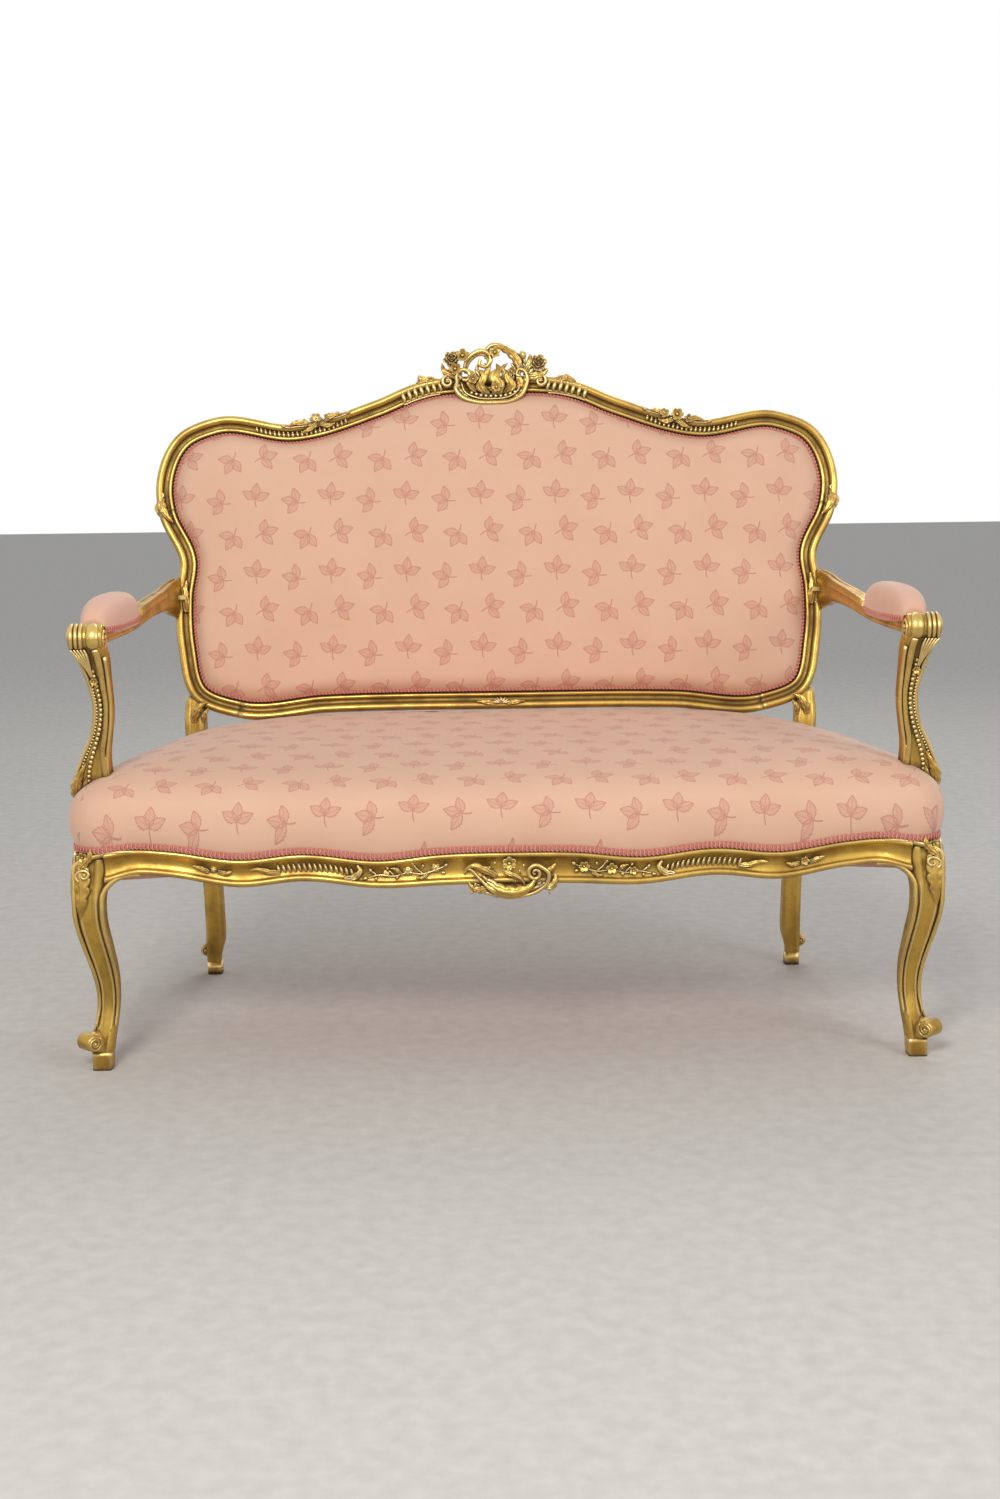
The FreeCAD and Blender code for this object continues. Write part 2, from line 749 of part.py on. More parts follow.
sy = arm_support_y
sx_mid = foot_half_front
fh = support_foot_half
wh = support_waist_half
hh = support_head_half
seat_on = rail_top_z
support = loft([
    support_stage(seat_on - 16, sx_mid + 4, fh - 3, sy, 22),
    support_stage(seat_on + 50, sx_mid + 5, fh + 1.5, sy - 2, 23),
    support_stage(seat_on + 80, sx_mid + 7.5, fh - 1, sy - 5, 22),
    support_stage(470, sx_mid + 1, 21, sy - 10, 19),
    support_stage(501, sx_mid - 8.5, wh + 1.5, sy - 14, 17),
    support_stage(531, sx_mid - 14, wh, sy - 17, 17),
    support_stage(555, sx_mid - 14.5, wh, sy - 19, 17),
    support_stage(572, sx_mid - 12.5, wh + 1.5, sy - 21, 18),
    support_stage(597, sx_mid - 8.5, wh + 4.5, sy - 24, 19),
    support_stage(622, sx_mid - 3, hh - 4, sy - 28, 21),
    support_stage(support_top_z, sx_mid + 2.5, hh, sy - 32, 22)])
support_seat = block(sx_mid - 116, sx_mid + 84, sy - 40, sy + 40, crest_side - 30, seat_on)
support = support.cut(side_rail).cut(front_leg).cut(support_seat.cut(above_crest))
support = largest(support)
support_tenon = block(sx_mid - 4, sx_mid + tenon_thick, sy - 12, sy + 12, crest_side - 22, seat_on + 10)
support = support.fuse(support_tenon)
side_rail = side_rail.cut(support_tenon)
front_block = largest(front_block.cut(support))
arm = largest(arm.cut(support))
arm_dowel = bar(V(arm_front_x - 6, arm_scroll_y + 10, support_top_z - 14), V(0, 0, 1), 26)
stile_dowel = bar(V(arm_end_x - 22, 526, arm_z + 20), V(1, 0, 0), 30)
support = support.cut(arm_dowel)
arm = largest(arm.cut(arm_dowel).cut(stile_dowel))
back_leg = back_leg.cut(stile_dowel)

# Wooden pegs through the tenons
peg_z = tenon_z + tenon_tall / 2
seat_pegs = [
    bar(V(leg_face_x + 10, leg_back_y, peg_z), V(0, -1, 0), 34),
    bar(V(leg_face_x, leg_back_y - 8, peg_z), V(1, 0, 0), 32),
    bar(V(back_leg_inner + 8, leg_line_back + back_top_half, peg_z), V(0, -1, 0), 24),
    bar(V(back_leg_inner, back_leg_front + 8, peg_z), V(1, 0, 0), 34)]
for peg in seat_pegs:
    front_leg = front_leg.cut(peg)
    back_leg = back_leg.cut(peg)
    front_rail = front_rail.cut(peg).cut(mirrored(peg))
    side_rail = side_rail.cut(peg)
    back_rail = back_rail.cut(peg).cut(mirrored(peg))
    front_block = front_block.cut(peg)
    back_block = back_block.cut(peg)
half_pegs = seat_pegs + [arm_dowel, stile_dowel] + [upright(p) for p in back_pegs]

# Seat: webbing in the rebate, coil springs on it, hessian drawn over them, stuffing and the top cover
web_zone = plan_prism(-rail_thick + 12, web_z - 20, web_z + 20)
web_limit_y = back_rail_y + 12
web_zone = web_zone.common(block(-far_x, far_x, front_far, web_limit_y, web_z - 30, web_z + 30))
leg_clear = block(back_leg_inner - 1, far_x, back_leg_front - 1, 620, 100, 900)
front_clear = block(leg_face_x - 1, far_x, -100, leg_back_y + 1, 100, rail_top_z - 20)
web_zone = web_zone.cut(leg_clear).cut(mirrored(leg_clear)).cut(front_clear).cut(mirrored(front_clear))
seat_webs = []
inner_half = side_mid_x - rail_thick
for i in range(seat_webs_deep):
    x = inner_half * 0.84 * (2.0 * i / (seat_webs_deep - 1) - 1)
    strip = block(x - web_width / 2, x + web_width / 2, front_far, 600, web_z - web_thick, web_z)
    seat_webs.append(strip.common(web_zone))
deep_mid = (bow_end + rail_thick + back_rail_y) / 2
for i in range(seat_webs_across):
    y = deep_mid + (back_rail_y - deep_mid) * 0.66 * (i - (seat_webs_across - 1) / 2)
    strip = block(-far_x, far_x, y - web_width / 2, y + web_width / 2, web_z - 2 * web_thick, web_z - web_thick)
    seat_webs.append(strip.common(web_zone))
seat_webbing = Part.makeCompound(seat_webs)


def dome(lift_by):
    base = rail_top_z + lift_by
    stages = [(0, 10), (42, 60)]
    wires = [plan(-rail_thick / 2, base + rise, inset) for rise, inset in stages]
    return loft(wires).fuse(Part.Face(plan(-rabbet - 3, base - 12)).extrude(V(0, 0, 12)))


dome_low = dome(0)
dome_high = dome(hessian_thick)
seat_side = block(-far_x, far_x, front_far, back_rail_y + rail_thick - 8, rail_top_z, 700)
arm_foot_clear = block(sx_mid - 31, far_x, sy - 26, sy + 26, 300, 700)
seat_keep = seat_side.cut(leg_clear).cut(mirrored(leg_clear))
seat_keep = seat_keep.cut(arm_foot_clear).cut(mirrored(arm_foot_clear))
seat_hessian = largest(dome_high.cut(dome_low).common(seat_keep))

spring_top = rail_top_z + 42 - 1
spring_foot = web_z + soft_gap


def coil(x, y):
    points = []
    for i in range(spring_turns * turn_flats + 1):
        turn = 2 * math.pi * i / turn_flats
        share = i / (spring_turns * float(turn_flats))
        reach = spring_radius * (0.72 + 0.28 * abs(2 * share - 1))
        z = spring_foot + spring_wire / 2 + share * (spring_top - spring_foot - spring_wire)
        points.append(V(x + reach * math.cos(turn), y + reach * math.sin(turn), z))
    path = Part.makePolygon(points)
    way = (points[1] - points[0]).normalize()
    h = spring_wire / 2
    side = V(0, 0, 1).cross(way).normalize()
    up = way.cross(side)
    q = points[0]
    wire = chain([q - side * h - up * h, q + side * h - up * h, q + up * h])
    return path.makePipeShell([wire], True, False, 1)


springs = []
for i in range(spring_columns):
    for j in range(spring_rows):
        x = (inner_half - 110) * (2.0 * i / (spring_columns - 1) - 1)
        y = deep_mid + (back_rail_y - deep_mid) * 0.56 * (j - (spring_rows - 1) / 2)
        if abs(x) < brace_width / 2 + spring_radius + spring_wire:
            continue
        springs.append(coil(x, y))
seat_springs = Part.makeCompound(springs)
print("springs", len(springs), all(s.isValid() for s in springs))


def seat_form(shrink):
    # the padded seat in level stages: height, how far it stands out and how far it is drawn in
    stages = [
        (crest_low_in - 14, -rabbet + 2.4, 0), (rail_top_z - 4, -rabbet + 3.4, 0),
        (rail_top_z + 24, seat_bulge, 0), (rail_top_z + 62, seat_bulge * 0.1, 0),
        (rail_top_z + 94, 0, 56), (seat_crown_z, 0, 190)]
    wires = []
    rear = seat_back_y - 8
    for z, off, inset in stages:
        drop = shrink if z > rail_top_z + 50 else 0
        share_x = 1 - inset / corner_x
        share_y = 1 - inset / (rear - bow_centre)
        wires.append(shifted(plan_marks, off - shrink, z - drop, share_x, share_y, rear))
    if shrink > 0:
        wires = [plan(-rabbet + 2.4 - shrink, crest_low_in - 20)] + wires[1:]
    return loft(wires)


seat_outer = seat_form(0).common(above_crest)
seat_inner = seat_form(cloth)
seat_cover = largest(seat_outer.cut(seat_inner).common(
    block(-far_x, far_x, front_far, back_rail_y + rail_thick - 8, 200, 700)))
rear_skin = block(-far_x, far_x, back_rail_y + rail_thick - 8 - cloth, back_rail_y + rail_thick - 8, rail_top_z, 700)
seat_cover = seat_cover.fuse(rear_skin.common(seat_outer))
cover_trim = block(back_leg_inner - 0.6, far_x, back_leg_front - 0.6, 620, 100, 900)
foot_trim = block(sx_mid - 28, far_x, sy - 24, sy + 24, 300, 700)
for trim in (cover_trim, mirrored(cover_trim), foot_trim, mirrored(foot_trim)):
    seat_cover = seat_cover.cut(trim)
seat_cover = largest(seat_cover)
stuff_keep = seat_keep.common(block(-far_x, far_x, front_far, back_rail_y + rail_thick - 8 - cloth, rail_top_z, 700))
seat_stuffing = largest(seat_inner.common(stuff_keep).cut(dome_high))

gimp_band = region(upper_wave, 0, all_deep, gimp_width).common(above_crest)
gimp_outer = plan_prism(-rabbet + 3.2 + gimp_thick, 290, 372)
seat_gimp = gimp_outer.cut(plan_prism(-rabbet - 2, 280, 380)).cut(seat_form(0)).common(gimp_band)
seat_gimp = seat_gimp.common(block(-far_x, far_x, front_far, back_leg_front - 1, 250, 420))
seat_gimp = seat_gimp.cut(foot_trim).cut(mirrored(foot_trim)).cut(support).cut(mirrored(support))
seat_gimp = Part.makeCompound([g for g in seat_gimp.Solids if g.Volume > 200])


def sag(lift_by):
    base = web_z - 2 * web_thick - soft_gap
    stages = [(0, 0), (-dust_sag, 110)]
    wires = [plan(-rail_thick + 12, base + drop + lift_by, inset) for drop, inset in stages]
    return loft(wires)


dust_keep = block(-far_x, far_x, front_far, back_rail_y + 12, 200, web_z).cut(leg_clear).cut(mirrored(leg_clear))
dust_keep = dust_keep.cut(front_clear).cut(mirrored(front_clear))
dust_cover = largest(sag(-cloth).cut(sag(0)).common(dust_keep))

# Back: webbing on the ledge of the frame, hessian, stuffing, inside cover, outside cover and gimp
edge_in = -frame_face / 2
web_back = back_prism(edge_in - 1.5, -ledge_front, 40)
back_webs = []
back_low = slope(loop_z)
back_high = slope(apex_z)
for i in range(back_webs_up):
    x = (stile_x - 80) * (2.0 * i / (back_webs_up - 1) - 1)
    strip = block(x - web_width / 2, x + web_width / 2, 0, 700, -ledge_front, -ledge_front + web_thick)
    back_webs.append(strip.common(web_back))
for i in range(back_webs_across):
    y = back_low + (back_high - back_low) * (0.24 + 0.24 * i)
    strip = block(-far_x, far_x, y - web_width / 2, y + web_width / 2,
                  -ledge_front + web_thick, -ledge_front + 2 * web_thick)
    back_webs.append(strip.common(web_back))
cloth_t = -ledge_front + 2 * web_thick
back_hessian = back_prism(edge_in - 1.5, cloth_t, cloth_t + hessian_thick)


def back_form(shrink):
    base = cloth_t + hessian_thick
    stages = [(base, 0.6, 0), (base + 9, 12, 0),
              (back_crown - 12, 13, 24), (back_crown, 13, 110)]
    wires = [back_outline(edge_in - off - shrink, t - (shrink if t > base else 0), inset)
             for t, off, inset in stages]
    return loft(wires)


back_outer = back_form(0)
back_inner = back_form(cloth)
inside_cover = largest(back_outer.cut(back_inner))
back_stuffing = back_inner
outside_cover = back_prism(edge_in - 0.8, -ledge_front - ledge_thick - cloth, -ledge_front - ledge_thick)
gimp_t = cloth_t + hessian_thick + 2
back_gimp = back_prism(edge_in - 0.6, gimp_t - 1, gimp_t + gimp_thick + 2)
back_gimp = back_gimp.cut(back_prism(edge_in - 0.6 - gimp_width + 2, gimp_t - 8, gimp_t + 20)).cut(back_outer)
back_gimp = largest(back_gimp)

# Arm pads
def pad_form(shrink):
    wires = []
    stages = [(0.0, 0.42, 0.40), (0.06, 0.80, 0.78), (0.2, 1.0, 1.0),
              (0.8, 1.0, 1.0), (0.94, 0.80, 0.78), (1.0, 0.42, 0.40)]
    length = pad_back_y - pad_front_y - 4 - 2 * shrink
    for share, wide, tall in stages:
        y = pad_front_y + 2 + shrink + length * share
        x = arm_front_x - 2 - 19 * share
        hw = pad_half * wide - shrink
        top = pad_bed_z + pad_rise * tall - shrink
        low = pad_bed_z + soft_gap
        shape = [(-0.84, 0), (0.84, 0), (1, 0.42), (0.78, 0.8), (0, 1), (-0.78, 0.8), (-1, 0.42)]
        wires.append(chain([V(x + hw * a, y, low + (top - low) * b) for a, b in shape]))
    return loft(wires)


pad_outer = pad_form(0)
pad_inner = pad_form(cloth)
arm_cover = largest(pad_outer.cut(pad_inner))
arm_stuffing = pad_inner
pad_ring = pad_form(-gimp_thick).cut(pad_outer)
arm_gimp = largest(pad_ring.common(block(stile_x - 41, far_x, 0, 400, pad_bed_z, pad_bed_z + gimp_width - 2)))

# Carved ornaments
def flat_form(points, low, high):
    return Part.Face(chain(points)).extrude(V(0, 0, high - low)).translated(V(0, 0, low))


def rod(points, radius, sides=4):
    # a carved roll along a line of points, drawn with flats
    wires = []
    for i, p in enumerate(points):
        way = (points[min(i + 1, len(points) - 1)] - points[max(i - 1, 0)]).normalize()
        side = V(0, 0, 1).cross(way) if abs(way.z) < 0.9 else V(1, 0, 0)
        side.normalize()
        other = way.cross(side)
        ring = [p + side * (radius * math.cos(2 * math.pi * k / sides))
                + other * (radius * math.sin(2 * math.pi * k / sides)) for k in range(sides)]
        wires.append(chain(ring))
    return loft(wires)


def knob(x, y, z, radius, sides=5):
    # a rounded boss, drawn with flats
    wires = []
    for rise, reach in ((-0.8, 0.6), (0.1, 1.0), (0.75, 0.66), (0.98, 0.2)):
        ring = [V(x + radius * reach * math.cos(2 * math.pi * k / sides),
                  y + radius * reach * math.sin(2 * math.pi * k / sides), z + radius * rise) for k in range(sides)]
        wires.append(chain(ring))
    return loft(wires)


ch = cartouche_half
tip = slope(cartouche_tip_z)
basin = slope(cartouche_basin_z)
plate_points = [
    V(-8, basin - 27, 0), V(ch * 0.6, basin - 16, 0), V(ch * 0.92, basin + 10, 0), V(ch * 0.8, basin + 32, 0),
    V(ch * 1.35, basin + 40, 0), V(ch * 1.2, tip - 22, 0), V(ch * 0.62, tip - 14, 0), V(ch * 0.2, tip - 3, 0),
    V(-8, tip, 0), V(-ch * 0.4, tip - 9, 0), V(-ch * 0.8, tip - 12, 0), V(-ch * 1.42, tip - 12, 0),
    V(-ch * 1.5, tip - 34, 0), V(-ch * 1.12, basin + 26, 0), V(-ch * 1.18, basin + 4, 0), V(-ch * 0.7, basin - 18, 0)]
plate = flat_form(plate_points, -ledge_front + 3, -ledge_front + 3 + cartouche_thick)
ring_t = cartouche_thick - ledge_front
ring_points = [V(-ch * 0.72, basin + 20, ring_t), V(-ch * 1.02, basin + 22, ring_t), V(-ch * 1.1, basin, ring_t),
               V(-ch * 0.66, basin - 19, ring_t), V(-8, basin - 25, ring_t), V(ch * 0.5, basin - 17, ring_t),
               V(ch * 0.84, basin + 6, ring_t), V(ch * 0.72, basin + 26, ring_t)]
c_scroll = rod(ring_points, 5.5)
fans = []
for i in range(fan_lobes):
    lean_by = math.radians(-64 + 128.0 * i / (fan_lobes - 1))
    root = V(-8, basin + 12, ring_t - 5)
    way = V(math.sin(lean_by), -math.cos(lean_by), 0.0)
    fans.append(rod([root, root + way * 14, root + way * 30], 4.2))
crown_knobs = [knob(-10, tip - 20, ring_t - 8, 19), knob(ch * 1.2, tip - 34, ring_t - 6, 13),
               knob(-ch * 1.25, tip - 26, ring_t - 6, 13), knob(ch * 0.75, tip - 14, ring_t - 6, 8)]
cartouche = plate.multiFuse([c_scroll] + fans + crown_knobs)
cartouche = largest(cartouche.cut(crest_bar).cut(back_prism(edge_in + 0.1, -60, -ledge_front + 3)))
notch = flat_form(plate_points, -ledge_front - 2, 90)
notch_room = flat_form([V(p.x * 1.04, p.y - 1.7, 0) for p in plate_points], -ledge_front + 0.2, 90)
inside_cover = largest(inside_cover.cut(notch_room))
back_stuffing = largest(back_stuffing.cut(notch_room))
back_gimp = largest(back_gimp.cut(notch_room))
back_hessian = largest(back_hessian.cut(notch_room))
back_webs = [w.cut(notch_room) for w in back_webs]


def spray(points, low, high, knobs):
    body = flat_form(points, low, high)
    return body.multiFuse([knob(*k) for k in knobs])


# Sprays of flowers and leaves on the two falls of the crest rail
sx = dip_x - 38
sv = slope(dip_z + 4) + frame_face / 2
crest_spray_points = [V(sx - 66, sv - 6, 0), V(sx - 30, sv - 12, 0), V(sx + 20, sv - 10, 0), V(sx + 64, sv - 5, 0),
                      V(sx + 42, sv + 4, 0), V(sx + 24, sv + 16, 0), V(sx + 8, sv + 8, 0), V(sx - 6, sv + 19, 0),
                      V(sx - 22, sv + 6, 0), V(sx - 40, sv + 10, 0)]
crest_spray = spray(crest_spray_points, -20, 7,
                    [(sx + 22, sv + 6, -1, 10), (sx - 8, sv + 9, -1, 8), (sx - 36, sv + 2, 1, 7)])
crest_spray = largest(crest_spray.cut(crest_bar))

# Leaves clasping the shoulders of the back
lx = lobe_x - 2
lv = slope(joint_z + 4)
shoulder_points = [V(lx - 14, lv - 26, 0), V(lx + 2, lv - 16, 0), V(lx + 15, lv + 6, 0), V(lx + 14, lv + 26, 0),
                   V(lx - 2, lv + 16, 0), V(lx - 16, lv + 2, 0)]
shoulder_leaf = flat_form(shoulder_points, -10, leaf_thick)
shoulder_leaf = largest(shoulder_leaf.cut(crest_bar).cut(stile))

# Leaves in the lower corners, between the curl of the frame and the top of the leg
kx = stile_x - 28
kv = slope(loop_z + 2)
corner_points = [V(kx - 22, kv - 20, 0), V(kx - 2, kv - 26, 0), V(kx + 22, kv - 20, 0), V(kx + 25, kv + 4, 0),
                 V(kx + 16, kv + 14, 0), V(kx + 2, kv - 2, 0)]
corner_leaf = flat_form(corner_points, -12, leaf_thick - 6)
corner_leaf = largest(corner_leaf.cut(stile))
corner_leaf_up = largest(upright(corner_leaf).cut(back_leg))

# Rocaille in the middle of the front rail and sprays beside it
face_far = bow_centre - rail_shell_thick
rh = rail_shell_half


def front_form(points, far, near):
    return standing(Part.Face(chain(points)).extrude(V(0, 0, far - near)), far)


shell_points = [V(0, rail_shell_tip_z, 0), V(rh * 0.55, rail_shell_tip_z + 6, 0), V(rh * 0.8, hem_mid - 2, 0),
                V(rh * 1.1, hem_mid + 16, 0), V(rh * 0.9, hem_mid + 34, 0), V(rh * 0.3, crest_mid - 8, 0),
                V(-rh * 0.3, crest_mid - 6, 0), V(-rh * 0.95, crest_mid - 14, 0), V(-rh * 1.1, hem_mid + 14, 0),
                V(-rh * 0.8, hem_mid - 2, 0), V(-rh * 0.55, rail_shell_tip_z + 7, 0)]
rail_shell = front_form(shell_points, face_far, bow_centre + 14)
shell_scroll = rod([V(-rh, face_far + 1, hem_mid + 26), V(-rh * 0.7, face_far + 1, hem_mid + 2),
                    V(-6, face_far + 1, rail_shell_tip_z + 8), V(rh * 0.6, face_far + 1, hem_mid - 6),
                    V(rh * 0.86, face_far + 1, hem_mid + 16), V(rh * 0.5, face_far + 1, hem_mid + 24)], 4)
daisy = knob(6, face_far, hem_mid + 24, 8)
rail_shell = largest(rail_shell.multiFuse([shell_scroll, daisy]).cut(front_rail))

spray_mid = 158.0
rail_spray_points = [V(spray_mid - 62, hem_mid + 18, 0), V(spray_mid - 30, hem_mid + 28, 0),
                     V(spray_mid + 8, hem_mid + 20, 0), V(spray_mid + 48, hem_mid + 24, 0),
                     V(spray_mid + 84, hem_mid + 18, 0), V(spray_mid + 52, hem_mid + 8, 0),
                     V(spray_mid + 6, hem_mid + 7, 0), V(spray_mid - 30, hem_mid + 10, 0)]
rail_spray = front_form(rail_spray_points, bow_centre - 3, bow_centre + 20)
rail_spray = rail_spray.cut(front_rail).cut(mirrored(front_rail)).cut(mirrored(rail_shell)).cut(rail_shell)
rail_spray = largest(rail_spray)

# Acanthus on the knees of the front legs
nx = foot_half_front + knee_set
knee_points = [V(nx + 6, knee_height - 34, 0), V(nx + 19, knee_height - 6, 0), V(nx + 18, knee_height + 44, 0),
               V(nx + 2, knee_height + 60, 0), V(nx - 16, knee_height + 54, 0), V(nx - 18, knee_height + 28, 0),
               V(nx - 4, knee_height - 4, 0)]
knee_leaf = front_form(knee_points, -knee_set - knee_half - 7, -knee_set)
knee_leaf = largest(knee_leaf.cut(front_leg).cut(front_rail))

# Everything in its place, with the origin on the floor under the middle of the settee
keep("front_seat_rail", front_rail)
both("side_seat_rail", side_rail)
keep("back_seat_rail", back_rail)
keep("centre_seat_brace", brace)
both("front_leg", front_leg)
both("back_leg", back_leg)
keep("crest_rail", upright(crest_bar))
keep("back_lower_rail", upright(low_bar))
both("armrest", arm)
both("arm_support", support)
both("front_corner_block", front_block)
both("back_corner_block", back_block)
keep("block_nails", Part.makeCompound(nails + [mirrored(n) for n in nails]))
keep("joint_pegs", Part.makeCompound(half_pegs + [mirrored(p) for p in half_pegs]))
keep("seat_webbing", seat_webbing)
keep("seat_springs", seat_springs)
keep("seat_hessian", seat_hessian)
keep("seat_stuffing", seat_stuffing)
keep("seat_cover", seat_cover)
keep("seat_gimp", seat_gimp)
keep("dust_cover", dust_cover)
keep("back_webbing", upright(Part.makeCompound(back_webs)))
keep("back_hessian", upright(back_hessian))
keep("back_stuffing", upright(back_stuffing))
keep("inside_back_cover", upright(inside_cover))
keep("outside_back_cover", upright(outside_cover))
keep("back_gimp", upright(back_gimp))
both("arm_pad_stuffing", arm_stuffing)
both("arm_pad_cover", arm_cover)
both("arm_pad_gimp", arm_gimp)
keep("crest_cartouche", upright(cartouche))
both("crest_flower_spray", upright(crest_spray))
both("shoulder_leaf", upright(shoulder_leaf))
both("corner_leaf", corner_leaf_up)
keep("rail_cartouche", rail_shell)
both("rail_flower_spray", rail_spray)
both("knee_leaf", knee_leaf)

os.makedirs("parts", exist_ok=True)
for name in pieces:
    shape = pieces[name].copy()
    shape.translate(V(0, -origin_setback, 0))
    shape.exportStep("parts/" + name + ".step")
    print("%-24s sound %s, solids %d, volume %.0f" % (name, shape.isValid(), len(shape.Solids), shape.Volume))
print("pieces", len(pieces))
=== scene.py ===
import bpy
import math
from mathutils import Vector, Matrix, noise


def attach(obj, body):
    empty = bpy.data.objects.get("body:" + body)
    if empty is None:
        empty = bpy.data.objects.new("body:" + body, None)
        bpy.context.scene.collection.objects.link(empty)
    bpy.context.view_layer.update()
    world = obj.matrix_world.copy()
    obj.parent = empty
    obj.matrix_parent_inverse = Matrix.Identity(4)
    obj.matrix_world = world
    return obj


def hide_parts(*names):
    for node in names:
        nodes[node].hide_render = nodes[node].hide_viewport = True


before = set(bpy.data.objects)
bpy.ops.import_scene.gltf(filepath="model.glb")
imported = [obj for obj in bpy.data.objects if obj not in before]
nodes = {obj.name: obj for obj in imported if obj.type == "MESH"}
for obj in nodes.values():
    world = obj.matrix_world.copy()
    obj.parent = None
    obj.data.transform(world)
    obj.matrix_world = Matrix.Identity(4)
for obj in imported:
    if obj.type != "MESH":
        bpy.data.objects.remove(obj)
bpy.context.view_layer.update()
print("frame loaded")

# Lengths are metres. The drawing of the settee has its front feet on the line y = 0.
setback = 0.29234
rake = math.atan(0.20)
hingeLine, hingeHeight = 0.500, 0.450
backHinge = Vector((0, hingeLine - setback, hingeHeight))
upSlope = Vector((0, math.sin(rake), math.cos(rake)))
offSlope = Vector((0, -math.cos(rake), math.sin(rake)))


def onBack(x, v, t=0.0):
    # from the flat drawing of the back to its place
    return backHinge + Vector((x, 0, 0)) + upSlope * v + offSlope * t


def slope(z):
    return (z - hingeHeight) / math.cos(rake)


def pickNothing():
    if bpy.context.object and bpy.context.object.mode != "OBJECT":
        bpy.ops.object.mode_set(mode="OBJECT")
    bpy.ops.object.select_all(action="DESELECT")


def smoothAt(marks, x):
    # a smooth height read from (place, height) marks
    if x <= marks[0][0]:
        return marks[0][1]
    if x >= marks[-1][0]:
        return marks[-1][1]
    k = max(i for i in range(len(marks) - 1) if marks[i][0] <= x)

    def lean(i):
        if i == 0 or i == len(marks) - 1:
            return 0.0
        (x0, y0), (x1, y1), (x2, y2) = marks[i - 1:i + 2]
        return ((y2 - y1) / (x2 - x1) * (x1 - x0) + (y1 - y0) / (x1 - x0) * (x2 - x1)) / (x2 - x0)

    (x0, y0), (x1, y1) = marks[k], marks[k + 1]
    wide = x1 - x0
    t = (x - x0) / wide
    return ((2 * t ** 3 - 3 * t ** 2 + 1) * y0 + (t ** 3 - 2 * t ** 2 + t) * wide * lean(k)
            + (3 * t ** 2 - 2 * t ** 3) * y1 + (t ** 3 - t ** 2) * wide * lean(k + 1))


def smoothLine(points, closed=False, steps=8):
    # a smooth line through the points, steps to a span
    count = len(points)

    def lean(i):
        if not closed and (i == 0 or i == count - 1):
            j = 1 if i == 0 else count - 2
            return (points[j] - points[i]) * (1 if i == 0 else -1) / (points[j] - points[i]).length
        a, b, c = points[(i - 1) % count], points[i % count], points[(i + 1) % count]
        h, g = (b - a).length, (c - b).length
        return ((b - a) / h * g + (c - b) / g * h) / (h + g)

    found = []
    for i in range(count if closed else count - 1):
        a, b = points[i], points[(i + 1) % count]
        reach = (b - a).length
        wayA, wayB = lean(i) * reach, lean((i + 1) % count) * reach
        for j in range(steps):
            t = j / steps
            found.append((2 * t ** 3 - 3 * t ** 2 + 1) * a + (t ** 3 - 2 * t ** 2 + t) * wayA
                         + (3 * t ** 2 - 2 * t ** 3) * b + (t ** 3 - t ** 2) * wayB)
    if not closed:
        found.append(points[-1].copy())
    return found


def evenly(line, count, closed=False):
    # the same line with count equal steps
    run = line + [line[0]] if closed else line
    reach = [0.0]
    for a, b in zip(run, run[1:]):
        reach.append(reach[-1] + (b - a).length)
    found, k = [], 0
    for i in range(count if closed else count + 1):
        want = reach[-1] * i / count
        while k < len(run) - 2 and reach[k + 1] < want:
            k += 1
        step = max(reach[k + 1] - reach[k], 1e-9)
        found.append(run[k].lerp(run[k + 1], (want - reach[k]) / step))
    return found


def lineLength(line):
    return sum((b - a).length for a, b in zip(line, line[1:]))


def shapedGrid(name, along, across, place, merged=True, capped=False):
    # a grid laid over a surface: place(i, j) gives the point of row i along and j across
    pickNothing()
    bpy.ops.mesh.primitive_grid_add(x_subdivisions=along, y_subdivisions=across, size=1.0)
    piece = bpy.context.object
    piece.name = name
    for vertex in piece.data.vertices:
        i = round((vertex.co.x + 0.5) * along)
        j = round((vertex.co.y + 0.5) * across)
        vertex.co = place(i, j)
    bpy.ops.object.mode_set(mode="EDIT")
    bpy.ops.mesh.select_all(action="SELECT")
    if merged:
        bpy.ops.mesh.remove_doubles(threshold=0.00002)
    if capped:
        bpy.ops.mesh.select_all(action="DESELECT")
        bpy.ops.mesh.select_non_manifold(extend=False, use_wire=False, use_boundary=True,
                                         use_multi_face=False, use_non_contiguous=False, use_verts=False)
        bpy.ops.mesh.fill_holes(sides=0)
    bpy.ops.mesh.select_all(action="SELECT")
    bpy.ops.mesh.normals_make_consistent(inside=False)
    bpy.ops.object.mode_set(mode="OBJECT")
    bpy.ops.object.shade_smooth()
    return piece


def sweep(name, line, section, up, closed=False, grow=None):
    # carries a section along a line: its first number goes to the left of travel, its second along up
    count = len(line)
    spots = []
    for i, here in enumerate(line):
        if closed:
            ahead, behind = line[(i + 1) % count], line[i - 1]
        else:
            ahead, behind = line[min(i + 1, count - 1)], line[max(i - 1, 0)]
        way = (ahead - behind).normalized()
        rise = up(i) if callable(up) else up
        left = rise.cross(way).normalized()
        spots.append((here, left, way.cross(left).normalized()))
    if closed:
        spots.append(spots[0])
    ring = section + [section[0]]

    def place(i, j):
        here, left, rise = spots[i]
        s, t = ring[j]
        if grow:
            gs, gt = grow(i / (len(spots) - 1))
            s, t = s * gs, t * gt
        return here + left * s + rise * t

    return shapedGrid(name, len(spots) - 1, len(ring) - 1, place, capped=not closed)


